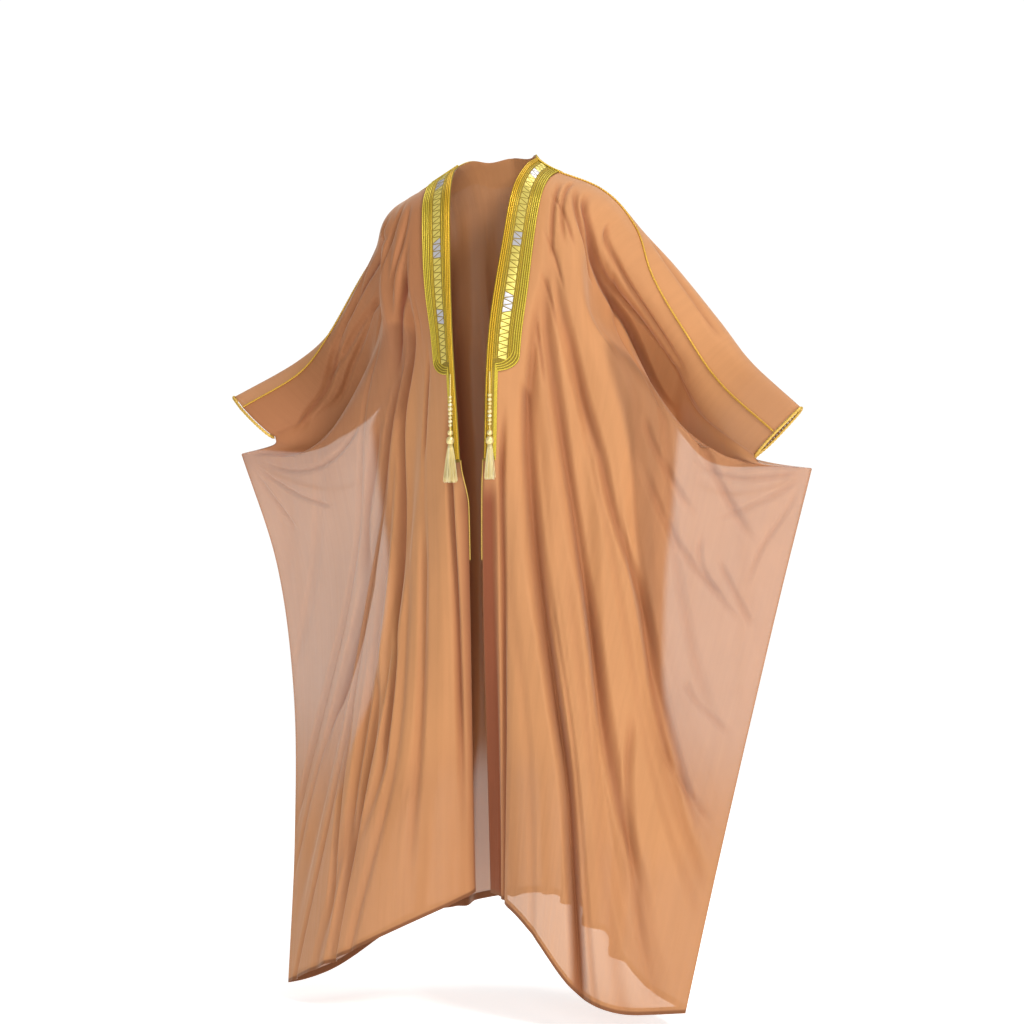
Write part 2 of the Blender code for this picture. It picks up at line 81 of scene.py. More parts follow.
# Tassels, measured down from the end of the band, with those on the wearer's left and right apart
TASSEL_CLEARANCE = 0.0070
TASSEL_PLACE = BAND_SHARE / 3
TASSEL_DROP = (0.120, 0.116)
CORD_RADIUS = 0.0017
CORD_IN_SKIRT = 0.020
BEADS_FROM = 0.040
BEADS_LENGTH = 0.060
BEAD_SIZES = (0.0030, 0.0046)
COLLAR_RADIUS = 0.0052
COLLAR_LENGTH = 0.0105
HEAD_RADIUS = 0.0075
HEAD_LENGTH = 0.016
SKIRT_LENGTH = (0.066, 0.072)
SKIRT_RADIUS = (0.0095, 0.0130)
SKIRT_BINDING = 0.0035
SKIRT_THREADS = 150
THREAD_RADIUS = 0.00055

# Fine cloth: the size of one front as cut, points down and across a front and half of the back
CUT_WIDTH = 0.79
CUT_LENGTH = 1.42
FINE_ROWS = 330
FRONT_FINE = 255
BACK_FINE = 135

# The hem: its height, the rows turned up inside and how far, and the back's rise on the right
HEM_V = 0.0036
HEM_ROWS = 8
HEM_TURN = 0.0012
HEM_RISE = 0.045

# Embroidery, in metres across the band from the front edge, or as places down the band
BAND_WIDTH = 0.062
STRIP_WIDTH = 0.022
CORNER_V = 0.020
INNER_CORDS = (0.0022, 0.0062, 0.0100)
OUTER_CORDS = (0.0016, 0.0056, 0.0096, 0.0136)
FINE_CORDS = (0.0140, 0.0178, 0.0410, 0.0440)
CHAIN_FROM = 0.0205
CHAIN_TO = 0.0385
CHAIN_PITCH = 0.0132
CHAIN_RISE = 0.0013
CHAIN_FACES = ((0, 1, 3), (1, 2, 3), (2, 0, 3))
SILVER_V = ((0.041, 0.147, 0.228), (0.046, 0.153, 0.238))
SILVER_REACH_V = 0.0100
STRIP_COLUMNS = np.linspace(0.0, 0.13, 27)
STRIP_ROWS = np.linspace(0.0, 0.60, 301)
FRONT_STRIPS = {}

# Ropes: the radius, the strands, the pitch of a strand, the depth between strands, sides and tone
BORDER_ROPE = (0.0017, 2, 0.0050, 0.35, 6, 0.0)
OUTER_ROPE = (0.0012, 2, 0.0036, 0.35, 6, 0.0)
INNER_ROPE = (0.0017, 3, 0.0046, 0.25, 8, 1.0)
FINE_ROPE = (0.0008, 2, 0.0026, 0.30, 5, 0.5)
SEAM_ROPE = (0.0016, 2, 0.0050, 0.25, 8, 0.5)
NAPE_ROPE = (0.0013, 2, 0.0032, 0.30, 8, 0.0)
PIPING_ROPE = (PIPING_RADIUS, 2, 0.0055, 0.30, 10, 0.0)
CUFF_ROPE = (CUFF_PIPING_RADIUS, 3, 0.0075, 0.28, 12, 0.3)
EDGE_ROPE = (EDGE_CORD_RADIUS, 2, 0.0040, 0.30, 8, 0.4)
TASSEL_ROPE = (CORD_RADIUS, 2, 0.0045, 0.38, 10, 0.0)

# Cloth, in linear colours: the plain cloth, painted shade in folds and shaded parts, cloth stretched thin, a
# hem
CLOTH = (0.535, 0.245, 0.098, 1.0)
SHADE_COLOUR = (0.215, 0.050, 0.016, 1.0)
THIN = (0.56, 0.255, 0.112, 1.0)
HEM = (0.22, 0.080, 0.028, 1.0)

# Camera, floor and light, in metres and watts
VIEW_TURN = math.radians(22.0)
VIEW_AT = (1.8245, -4.4398, -0.663)
VIEW_LENS = 88.8
FLOOR_Z = -1.603
FLOOR_RADIUS = 9.0
FLOOR_SIDES = 64
FLOOR_GLOW = 0.60
SKY_LIGHT = 0.42
SKY_SEEN = 1.05

# The sleeve, as sections across the arm from the nape to the cuff, one after another in each row: the
# centre, how far the section's top leans outward from upright, its half height and its half depth in
# front and behind, then, on the wearer's left and right, the angle (0 faces forward, 90 is the top) of
# the shoulder seam and of the fold under the arm, and the way from that fold to the crease behind it.
# "hang" is the same way on the back.
SLEEVE = {
    "u": (-0.11, -0.055, 0.0, 0.18, 0.325, 0.446, 0.64, 0.826, 1.0),
    "x": (0.0, 0.047, 0.08, 0.192, 0.226, 0.28, 0.36, 0.425, 0.539),
    "y": (0.0, 0.0, 0.0, 0.015, 0.055, 0.088, 0.113, 0.095, 0.043),
    "z": (-0.1, -0.102, -0.104, -0.142, -0.182, -0.238, -0.342, -0.42, -0.493),
    "lean": (0, 0, 0, 8, 38, 45, 48, 45, 46),
    "high": (0.185, 0.144, 0.104, 0.078, 0.062, 0.056, 0.06, 0.068, 0.062),
    "deep": (0.118, 0.118, 0.118, 0.104, 0.082, 0.07, 0.048, 0.036, 0.02),
    "rear": (0.098, 0.098, 0.098, 0.098, 0.085, 0.07, 0.058, 0.046, 0.02),
    "seam": ((140, 127, 90, 90, 78, 28, 4, 4, -3), (140, 127, 90, 90, 85, 70, 50, 30, 25)),
    "fold": ((12, 12, 12, 5, -30, -70, -85, -88, -90), (12, 12, 12, 10, 0, 0, -15, -60, -90)),
    "tuck": (
        (
            (0.0, -0.018, -0.105), (0.0, -0.018, -0.105), (0.0, -0.018, -0.105), (0.0, -0.012, -0.105),
            (-0.004, -0.008, -0.085), (-0.01, 0.004, -0.06), (-0.018, 0.006, -0.075), (0.004, 0.01, -0.08),
            (0.012, 0.016, -0.015),
        ),
        (
            (0.0, -0.018, -0.105), (0.0, -0.018, -0.105), (0.0, -0.018, -0.105), (0.0, -0.012, -0.105),
            (-0.004, -0.006, -0.1), (-0.018, 0.0, -0.09), (-0.03, 0.01, -0.06), (0.0, 0.012, -0.07),
            (0.012, 0.016, -0.015),
        ),
    ),
    "hang": (
        (0.0, 0.018, -0.105), (0.0, 0.018, -0.105), (0.0, 0.018, -0.105), (0.0, 0.018, -0.105),
        (-0.004, 0.02, -0.1), (-0.012, 0.025, -0.09), (-0.02, 0.03, -0.07), (0.004, 0.026, -0.052),
        (0.012, 0.016, -0.015),
    ),
}

# The skirt, as sections down the cloak: how far the fronts wrap round the body before they turn out
# to the side seam, the side seam, how far the fronts swell forward, the centre back, and how far
# the threads drift outward on the wearer's left and right
SKIRT = [
    dict(v=0.26, wrap=1.0, x=0.593, y=0.085, z=-0.564, swell=0.02,
         back_y=0.15, back_z=-0.345, drift=(0.05, 0.05)),
    dict(v=0.42, wrap=0.8, x=0.528, y=0.114, z=-0.785, swell=0.035,
         back_y=0.17, back_z=-0.59, drift=(0.0, 0.05)),
    dict(v=0.6, wrap=0.5, x=0.476, y=0.087, z=-1.035, swell=0.055,
         back_y=0.195, back_z=-0.85, drift=(-0.06, 0.1)),
    dict(v=0.8, wrap=0.2, x=0.435, y=0.012, z=-1.305, swell=0.075,
         back_y=0.22, back_z=-1.13, drift=(-0.12, 0.25)),
    dict(v=1.0, wrap=0.0, x=0.402, y=-0.081, z=-1.571, swell=0.09,
         back_y=0.24, back_z=-1.42, drift=(-0.18, 0.4)),
]

# The front edge, on the wearer's left and right
EDGE = [
    dict(v=0.0, x=(0.08, 0.078), y=0.0, z=0.0),
    dict(v=0.04, x=(0.079, 0.066), y=-0.052, z=-0.02),
    dict(v=0.081, x=(0.074, 0.053), y=-0.098, z=-0.062),
    dict(v=0.16, x=(0.064, 0.04), y=-0.13, z=-0.17),
    dict(v=0.26, x=(0.04, 0.032), y=-0.138, z=-0.325),
    dict(v=0.42, x=(0.026, 0.022), y=-0.128, z=-0.555),
    dict(v=0.6, x=(0.014, 0.018), y=-0.112, z=-0.81),
    dict(v=0.8, x=(0.008, 0.012), y=-0.096, z=-1.092),
    dict(v=1.0, x=(0.006, 0.006), y=-0.082, z=-1.376),
]

# The main folds, as furrows: where each starts and ends down the panel, its place across at the top,
# middle and end, its half width across the panel and its depth in metres
FURROWS = {
    ("front", 0): (
        (0.3, 1.3, (0.035, 0.08, 0.105), 0.05, 0.014),
        (0.12, 1.3, (0.09, 0.185, 0.66), 0.06, 0.032),
        (0.1, 1.3, (0.11, 0.39, 0.95), 0.065, 0.035),
        (0.1, 0.95, (0.1, 0.66, 1.15), 0.065, 0.028),
    ),
    ("front", 1): (
        (0.3, 1.3, (0.04, 0.04, 0.02), 0.05, 0.014),
        (0.14, 1.3, (0.07, 0.3, 0.62), 0.065, 0.035),
        (0.16, 1.0, (0.1, 0.62, 1.05), 0.065, 0.028),
    ),
    ("back", 0): (
        (0.14, 1.3, (0.1, 0.12, 0.13), 0.065, 0.035),
        (0.12, 1.3, (0.22, 0.29, 0.32), 0.07, 0.045),
        (0.24, 1.2, (0.38, 0.46, 0.5), 0.065, 0.03),
    ),
    ("back", 1): (
        (0.16, 1.3, (0.06, 0.07, 0.08), 0.06, 0.032),
        (0.1, 1.3, (0.18, 0.25, 0.27), 0.075, 0.048),
        (0.2, 1.25, (0.33, 0.42, 0.46), 0.065, 0.034),
    ),
}

# The creases that are placed one by one: the half width and depth of the trough in metres, how much shade
# is painted on its floor, and the places across and down the panel that its line goes through, in thousandths
CREASES = {
    ("front", 0): (
        (0.01, 0.01, 0.75, (45, 50, 70, 90, 105), (340, 450, 600, 800, 1020)),
        (0.02, 0.016, 0.62, (88, 95, 120, 200, 300, 450, 660), (160, 240, 420, 590, 700, 800, 1020)),
        (0.019, 0.015, 0.59, (105, 115, 190, 297, 375, 485, 675, 800, 930),
         (100, 210, 360, 490, 550, 620, 740, 830, 970)),
        (0.016, 0.012, 0.53, (100, 133, 190, 247, 325, 417, 593, 700, 785, 855, 925),
         (90, 180, 260, 330, 380, 430, 490, 570, 640, 700, 770)),
        (0.008, 0.007, 0.6, (100, 110, 112), (30, 80, 160)),
        (0.007, 0.006, 0.45, (128, 130, 150), (20, 60, 130)),
        (0.011, 0.009, 0.6, (140, 180, 260, 350), (30, 70, 90, 115)),
        (0.013, 0.012, 0.75, (180, 205, 350, 560, 720), (30, 60, 90, 150, 135)),
        (0.01, 0.008, 0.5, (280, 320, 475, 730), (35, 50, 42, 40)),
        (0.01, 0.007, 0.45, (300, 420, 600, 860), (75, 85, 72, 60)),
        (0.012, 0.007, 0.3, (440, 480, 600, 723), (285, 310, 330, 352)),
        (0.01, 0.005, 0.22, (740, 755, 840, 912), (360, 400, 440, 470)),
        (0.012, 0.005, 0.22, (800, 818, 900, 970), (550, 570, 600, 630)),
        (0.008, 0.006, 0.28, (980, 900, 780, 640), (266, 275, 285, 290)),
        (0.008, 0.005, 0.22, (985, 930, 850, 760), (270, 295, 320, 345)),
        (0.008, 0.005, 0.2, (985, 960, 920, 900), (275, 320, 370, 430)),
        (0.014, 0.008, 0.35, (640, 680, 760, 880), (600, 700, 800, 950)),
        (0.006, 0.0036, 0.45, (58, 115, 152, 190), (55, 70, 90, 120)),
        (0.006, 0.0042, 0.48, (58, 105, 130, 160), (98, 130, 155, 195)),
        (0.007, 0.0042, 0.45, (58, 95, 128, 165), (140, 178, 212, 260)),
        (0.007, 0.0048, 0.48, (58, 92, 122, 150), (190, 230, 280, 340)),
        (0.007, 0.0042, 0.42, (58, 83, 98, 120), (220, 270, 320, 400)),
        (0.014, 0.008, 0.34, (600, 700, 800, 912), (235, 270, 315, 370)),
        (0.013, 0.007, 0.3, (420, 608, 780, 860), (335, 380, 420, 445)),
        (0.014, 0.01, 0.42, (535, 670, 835, 965), (450, 530, 660, 790)),
        (0.011, 0.006, 0.28, (797, 883, 955), (385, 435, 480)),
        (0.012, 0.007, 0.3, (768, 883, 965), (640, 700, 750)),
    ),
    ("front", 1): (
        (0.016, 0.015, 0.59, (90, 120, 158, 230, 270, 305, 297, 315, 348, 573),
         (140, 200, 260, 340, 450, 570, 640, 730, 800, 930)),
        (0.014, 0.014, 0.6, (120, 193, 335, 463, 562, 703, 768, 860),
         (180, 260, 380, 470, 530, 620, 660, 760)),
        (0.012, 0.01, 0.75, (40, 48, 38, 24), (330, 480, 640, 960)),
        (0.009, 0.008, 0.6, (95, 110, 170), (50, 110, 200)),
        (0.009, 0.008, 0.5, (115, 150, 230, 300), (40, 90, 150, 210)),
        (0.01, 0.008, 0.45, (160, 230, 360, 480), (50, 80, 130, 170)),
        (0.009, 0.006, 0.35, (300, 450, 640, 840), (30, 35, 40, 45)),
        (0.01, 0.008, 0.45, (350, 520, 700, 880), (100, 110, 100, 75)),
        (0.008, 0.007, 0.4, (975, 860, 700, 520, 380), (265, 280, 290, 300, 300)),
        (0.008, 0.006, 0.3, (980, 900, 780, 640), (270, 300, 330, 360)),
        (0.008, 0.005, 0.22, (985, 940, 870), (275, 320, 380)),
        (0.016, 0.008, 0.3, (150, 155, 160, 190), (460, 600, 760, 980)),
        (0.012, 0.008, 0.35, (400, 420, 470, 600), (600, 700, 800, 960)),
        (0.013, 0.013, 0.95, (65, 83, 118, 198, 260), (35, 110, 180, 240, 310)),
        (0.014, 0.01, 0.7, (540, 738, 883, 960), (50, 52, 60, 110)),
        (0.015, 0.011, 0.8, (150, 300, 455, 662), (90, 68, 50, 30)),
        (0.013, 0.008, 0.55, (300, 450, 650, 800), (130, 105, 72, 35)),
        (0.006, 0.006, 0.65, (70, 80, 95, 120), (100, 150, 200, 270)),
        (0.008, 0.008, 0.6, (68, 92, 125, 150), (200, 275, 340, 430)),
        (0.016, 0.01, 0.45, (300, 390, 490, 545), (300, 360, 420, 520)),
        (0.013, 0.008, 0.3, (590, 640, 662, 680), (620, 740, 860, 970)),
        (0.016, 0.009, 0.34, (438, 500, 540, 560), (600, 710, 800, 930)),
    ),
    ("back", 0): (
        (0.018, 0.014, 0.55, (0, 10, 20, 20), (100, 400, 700, 1020)),
        (0.02, 0.022, 0.8, (110, 120, 140, 150), (60, 350, 700, 1020)),
        (0.022, 0.025, 0.9, (210, 240, 300, 330), (70, 350, 700, 1020)),
        (0.02, 0.02, 0.75, (300, 370, 470, 540), (90, 350, 700, 1000)),
        (0.018, 0.016, 0.6, (380, 480, 640, 760), (120, 360, 660, 950)),
        (0.012, 0.008, 0.45, (450, 560, 720, 900), (55, 60, 55, 50)),
        (0.01, 0.006, 0.35, (400, 560, 760), (20, 24, 20)),
        (0.008, 0.006, 0.28, (985, 900, 760, 600), (268, 290, 310, 320)),
    ),
    ("back", 1): (
        (0.019, 0.02, 0.75, (60, 70, 80, 85), (70, 380, 700, 1020)),
        (0.022, 0.026, 0.9, (165, 190, 230, 250), (60, 350, 700, 1020)),
        (0.02, 0.022, 0.8, (260, 310, 390, 440), (80, 350, 700, 1000)),
        (0.018, 0.016, 0.6, (350, 440, 580, 680), (110, 360, 660, 980)),
        (0.012, 0.008, 0.45, (420, 560, 740, 900), (60, 64, 58, 52)),
        (0.01, 0.006, 0.35, (380, 540, 740), (22, 26, 22)),
        (0.008, 0.006, 0.28, (985, 900, 760, 600), (268, 290, 310, 320)),
    ),
}

# Places down a panel at which a fall line, the sheer line and the turned edge give their place across
FALL_V = (0.05, 0.2, 0.4, 0.6, 0.8, 1.0)

# The lines that the cloth falls along, from the front edge or the centre back outward
FALLS = {
    ("front", 0): (
        (0.0, 0.0, 0.0, 0.0, 0.0, 0.0),
        (0.09, 0.09, 0.11, 0.2, 0.45, 0.66),
        (0.11, 0.12, 0.22, 0.46, 0.76, 0.96),
        (0.13, 0.15, 0.36, 0.73, 0.97, 1.15),
        (0.45, 0.55, 0.75, 0.95, 1.15, 1.35),
        (1.0, 1.0, 1.1, 1.3, 1.5, 1.7),
    ),
    ("front", 1): (
        (0.0, 0.0, 0.0, 0.0, 0.0, 0.0),
        (0.09, 0.11, 0.26, 0.3, 0.35, 0.6),
        (0.12, 0.14, 0.36, 0.68, 0.92, 1.1),
        (0.45, 0.55, 0.75, 0.95, 1.15, 1.4),
        (1.0, 1.0, 1.1, 1.3, 1.5, 1.8),
    ),
    ("back", 0): (
        (0.0, 0.0, 0.0, 0.0, 0.0, 0.0),
        (0.2, 0.22, 0.3, 0.36, 0.42, 0.46),
        (0.4, 0.45, 0.55, 0.66, 0.78, 0.88),
        (1.0, 1.0, 1.02, 1.1, 1.2, 1.3),
    ),
}
FALLS["back", 1] = FALLS["back", 0]

# How much of a furrow's depth the fine cloth shows
FURROW_SHARE = 0.40

# Points along each crease, how far round it its trough is looked for (u and v), and its tapered share
CREASE_STEPS = 60
CREASE_REACH = (0.09, 0.028)
CREASE_TAPER = 0.25

# Small folds that follow the falls: how many a panel has, the range of their sizes, how much shade is
# painted in the deepest, and how much of one is left where the cloth is taut
MINOR_FOLDS = 22
MINOR_HALF = (0.010, 0.026)
MINOR_DEPTH = (0.0012, 0.0050)
MINOR_SHADE = 0.22
MINOR_TAUT = 0.45

# The front edge folds back along a line this far across, on the wearer's left and right
TURNED_EDGE = ((0.0, 0.0, 0.045, 0.065, 0.085, 0.100), (0.0, 0.0, 0.030, 0.034, 0.026, 0.020))
TURN_DEPTH = 0.016
# How much shade is painted on the turned strip, on the wearer's left and right
TURN_SHADE = (0.95, 0.80)

# How much shade is painted over the wearer's right side, and down to where
PAINTED_SIDE_SHADE, SHADED_TO_V = 0.48, 0.38

# Where the crowded cloth ends and the taut, see-through cloth begins, and how sheer the rest is
SHEER_FROM = {
    ("front", 0): (1.20, 0.34, 0.47, 0.74, 0.94, 1.10),
    ("front", 1): (1.20, 0.20, 0.30, 0.36, 0.70, 1.05),
    ("back", 0): (1.20, 0.60, 0.55, 0.62, 0.72, 0.80),
}
SHEER_FROM["back", 1] = SHEER_FROM["back", 0]
SHEER_START_V = 0.190
SHEER_CUFF = 0.30
SHEER_HEM = 0.28

# The cloth under the band is stiff, and frees up over this much of the panel
BAND_GRIP = 0.030


def spline(knots, values, at):
    """A smooth curve through values (one row for each knot), read at the places in at."""
    knots = np.asarray(knots, float)
    values = np.asarray(values, float)
    trailing = [1] * (values.ndim - 1)
    slopes = np.diff(values, axis=0) / np.diff(knots).reshape(-1, *trailing)
    tangents = np.concatenate([slopes[:1], (slopes[1:] + slopes[:-1]) / 2, slopes[-1:]])
    i = np.clip(np.searchsorted(knots, at, side="right") - 1, 0, len(knots) - 2)
    span = (knots[i + 1] - knots[i]).reshape(-1, *trailing)
    t = (at - knots[i]).reshape(-1, *trailing) / span
    return (
        (2 * t**3 - 3 * t**2 + 1) * values[i]
        + (t**3 - 2 * t**2 + t) * span * tangents[i]
        + (3 * t**2 - 2 * t**3) * values[i + 1]
        + (t**3 - t**2) * span * tangents[i + 1]
    )


def smooth_step(x):
    x = np.clip(x, 0.0, 1.0)
    return x * x * (3.0 - 2.0 * x)


def across(name, u, hand=None):
    """One row of SLEEVE, read at the places u across the cloak."""
    return spline(SLEEVE["u"], SLEEVE[name] if hand is None else SLEEVE[name][hand], u)


def sleeve_point(u, degrees):
    """The point of each section across the sleeve that lies at an angle from its front."""
    angle = np.radians(degrees)
    depth = np.where(np.cos(angle) > 0, across("deep", u), across("rear", u))
    rise = across("high", u) * np.sin(angle)
    lean = np.radians(across("lean", u))
    x = across("x", u) + rise * np.sin(lean)
    y = across("y", u) - depth * np.cos(angle)
    z = across("z", u) + rise * np.cos(lean)
    return np.stack([x, y, z], axis=1)


def sleeve_rows(u, hand, back):
    """A panel's rows from the shoulder seam to the crease behind the fold under the arm."""
    seam = across("seam", u, hand)
    fold = across("fold", u, hand)
    tuck = across("tuck", u, hand)
    if back:
        fold = 180.0 + 90.0 * np.maximum(u, 0.0) ** 3
        tuck = across("hang", u)
    rows = [sleeve_point(u, seam + (fold - seam) * turn) for turn in np.linspace(0.0, 1.0, SLEEVE_TURNS)]
    return rows + [rows[-1] + tuck]


def edge_line(v, hand):
    """The front edge at the places v down it."""
    values = [[row["x"][hand], row["y"], row["z"]] for row in EDGE]
    return spline([row["v"] for row in EDGE], values, v)


def skirt_row(row, u, hand, back):
    """One section down the cloak, from the front edge or the centre back to the side seam."""
    t = u + row["drift"][hand] * u * (1.0 - u) + CROWDING * np.sin(2 * math.pi * u) / (2 * math.pi)
    drop = smooth_step(u / LEVEL_FROM)
    if hand and not back:
        # On the wearer's right the hem falls in a straight line.
        drop += (np.clip(t, 0.0, 1.0) - drop) * (1.0 - row["wrap"])
    if back:
        x = row["x"] * t
        y = row["y"] + (row["back_y"] - row["y"]) * np.maximum(np.cos(math.pi / 2 * t), 0.0) ** 0.9
        z = row["back_z"] + (row["z"] - row["back_z"]) * drop
    else:
        edge = edge_line(np.array([row["v"]]), hand)[0]
        x = edge[0] + (row["x"] - edge[0]) * t
        wrapped = (1.0 - row["wrap"]) * t + row["wrap"] * np.sin(math.pi / 2 * t)
        y = edge[1] + (row["y"] - edge[1]) * wrapped - row["swell"] * np.sin(math.pi * t)
        z = edge[2] + (row["z"] - edge[2]) * drop
    return np.stack([x, y, z], axis=1)


def seam_places(u, back):
    """Places along the shoulder seam: the back's begin at the nape, short of the seam."""
    return (u - NECK_SHARE) / (1.0 - NECK_SHARE) if back else u


def smooth_panel(u, v, hand, back):
    """A panel before its folds: an array of len(v) by len(u) by 3, as if worn on the left."""
    seam_u = seam_places(u, back)
    upper = sleeve_rows(seam_u, hand, back)
    skirt = [skirt_row(row, u, hand, back) for row in SKIRT]
    places = [*np.linspace(0.0, CUFF_V, SLEEVE_TURNS), TUCK_V] + [row["v"] for row in SKIRT]
    points = spline(places, np.array(upper + skirt), v)
    # Along the sleeve the fold and the grip of the hand are creases, so each stretch is shaped apart.
    parts = [
        spline(places[:SLEEVE_TURNS], np.array(upper[:SLEEVE_TURNS]), v),
        spline(places[SLEEVE_TURNS - 1 : SLEEVE_TURNS + 2], np.array(upper[-2:] + skirt[:1]), v),
        spline(places[SLEEVE_TURNS + 1 :], np.array(skirt), v),
    ]
    creased = np.where((v < CUFF_V)[:, None, None], parts[0], parts[1])
    creased = np.where((v < HAND_V)[:, None, None], creased, parts[2])
    points += (creased - points) * smooth_step((u - 0.35) / 0.4)[None, :, None]
    if not back:
        reach = np.clip(1.0 - u / EDGE_REACH, 0.0, 1.0) ** 2
        start = np.zeros(1)
        edge_rows = sleeve_rows(start, hand, False) + [skirt_row(row, start, hand, False) for row in SKIRT]
        shift = edge_line(v, hand) - spline(places, np.array(edge_rows), v)[:, 0]
        points += shift[:, None, :] * reach[None, :, None]
    return points


def unit(vectors):
    return vectors / np.maximum(np.linalg.norm(vectors, axis=-1, keepdims=True), 1e-9)


def grid_normals(points):
    """The outward normal at each point of a panel, and the direction across it."""
    run = unit(np.gradient(points, axis=1))
    fall = unit(np.gradient(points, axis=0))
    return unit(np.cross(fall, run)), run


def smooth_panel_normals(u, v, hand, back):
    """The smooth panel, its outward normals and the metres that one unit of u covers."""
    step = 0.0015
    middle = smooth_panel(u, v, hand, back)
    run = smooth_panel(u + step, v, hand, back) - smooth_panel(u - step, v, hand, back)
    fall = smooth_panel(u, v + step, hand, back) - smooth_panel(u, v - step, hand, back)
    normals = unit(np.cross(unit(fall), unit(run)))
    return middle, normals * (-1.0 if back else 1.0), np.linalg.norm(run, axis=-1) / (2 * step)


def stiffness(u, v, back):
    """1 where the cloth is free, falling to 0 under the band."""
    if back:
        free_v = smooth_step((v - NAPE_BAND_V) / BAND_GRIP)
        return np.maximum(free_v[:, None], smooth_step((u - 0.20) / 0.06)[None, :])
    free_u = smooth_step((u - BAND_SHARE) / BAND_GRIP)
    free_v = smooth_step((v - BAND_END_V) / BAND_GRIP)
    return np.maximum(free_u[None, :], free_v[:, None])


def crease_profile(line_at, half, points, u, v, hand, back):
    """How deep in one crease each point of a panel is, from 0 to 1."""
    knots = np.linspace(0.0, 1.0, len(line_at[0]))
    line_u, line_v = (spline(knots, places, np.linspace(0.0, 1.0, CREASE_STEPS)) for places in line_at)
    line = np.einsum("iik->ik", smooth_panel(line_u, np.minimum(line_v, 1.0), hand, back))
    gap = np.full(points.shape[:2], np.inf)
    along = np.zeros(points.shape[:2])
    for i in range(CREASE_STEPS - 1):
        rows = near_range(v, line_v[i : i + 2], CREASE_REACH[1])
        columns = near_range(u, line_u[i : i + 2], CREASE_REACH[0])
        window = points[rows, columns]
        if not window.size:
            continue
        step = line[i + 1] - line[i]
        share = np.clip((window - line[i]) @ step / max(float(step @ step), 1e-12), 0.0, 1.0)
        distance = np.linalg.norm(window - line[i] - share[..., None] * step, axis=-1)
        nearer = distance < gap[rows, columns]
        gap[rows, columns][nearer] = distance[nearer]
        along[rows, columns][nearer] = (i + share[nearer]) / (CREASE_STEPS - 1)
    taper = smooth_step(along / CREASE_TAPER)
    if line_at[1][-1] < 1.0:
        taper = taper * smooth_step((1.0 - along) / CREASE_TAPER)
    return smooth_step(1.0 - gap / half) * taper


def near_range(places, ends, reach):
    """The slice of sorted places that lie between two ends, give or take a reach."""
    first = np.searchsorted(places, min(ends) - reach)
    return slice(int(first), int(np.searchsorted(places, max(ends) + reach)))


def fall_line(lines, place, v):
    """The place across the panel of a fall line between the tabled ones."""
    index = int(np.clip(math.floor(place), 0, len(lines) - 2))
    low, high = (spline(FALL_V, lines[index + k], v) for k in (0, 1))
    return low + (high - low) * (place - index)


def folded(points, normals, width, u, v, hand, back):
    """A panel's points with every fold pressed in, and the shade painted on its folds and shaded parts."""
    panel = ("back" if back else "front", hand)
    free = stiffness(u, v, back)
    sewn = smooth_step((1.0 - u) / 0.06)[None, :] * np.ones((len(v), 1))
    depth = np.zeros(points.shape[:2])
    painted_shade = np.zeros(points.shape[:2])
    for start, end, at, half, deep in FURROWS[panel]:
        way = (v - start) / (1.0 - start)
        place = spline([0.0, 0.5, 1.0], at, np.clip(way, 0.0, 1.0))
        grow = smooth_step(way * 2.2) * smooth_step((end - v) * 4.0)
        profile = np.clip(1.0 - np.abs((u[None, :] - place[:, None]) / half), 0.0, 1.0)
        grown = smooth_step(profile) * grow[:, None] * smooth_step((1.0 - u) / SEAM_STAYS)
        depth += grown * deep * FURROW_SHARE
    for half, deep, shade, *line_at in CREASES[panel]:
        line_at = [np.array(places) / 1000 for places in line_at]
        profile = crease_profile(line_at, half, points, u, v, hand, back) * free * sewn
        depth += profile * deep
        # The crease's floor is painted with shade.
        painted_shade = np.maximum(painted_shade, profile * shade)
    rng = np.random.default_rng(7 + 2 * hand + back)
    lines = FALLS[panel]
    for _ in range(MINOR_FOLDS):
        place = rng.uniform(0.3, len(lines) - 1.02)
        start, length = rng.uniform(-0.05, 0.55), rng.uniform(0.35, 0.9)
        half, deep = rng.uniform(*MINOR_HALF), rng.uniform(*MINOR_DEPTH)
        line = fall_line(lines, place, v)
        near = np.abs(u[None, :] - line[:, None]) * width / half
        ends = smooth_step((v - start) / 0.12) * smooth_step((start + length - v) / 0.12)
        taut = MINOR_TAUT if place > len(lines) - 2.2 else 1.0
        profile = smooth_step(1.0 - near) * ends[:, None] * free * sewn * taut
        depth += profile * deep
        # Each small fold's floor is painted with shade, darker the deeper it is.
        painted_shade = np.maximum(painted_shade, profile * deep / MINOR_DEPTH[1] * MINOR_SHADE)
    if not back:
        # The turned edge of the front lies back in the shade of the opening: it is pressed in and that shade
        # is painted on it.
        turned = smooth_step((spline(FALL_V, TURNED_EDGE[hand], v)[:, None] - u[None, :]) / 0.035)
        turned = turned * smooth_step((v - STRIP_END_V) / 0.06)[:, None]
        depth += turned * TURN_DEPTH
        painted_shade = np.maximum(painted_shade, turned * TURN_SHADE[hand])
    if hand and not back:
        # Shade is painted over the wearer's right side of the chest, and over that sleeve.
        painted_shade = np.maximum(painted_shade, (PAINTED_SIDE_SHADE * smooth_step((SHADED_TO_V - v) / 0.20))[:, None])
    return points - depth[..., None] * normals, painted_shade


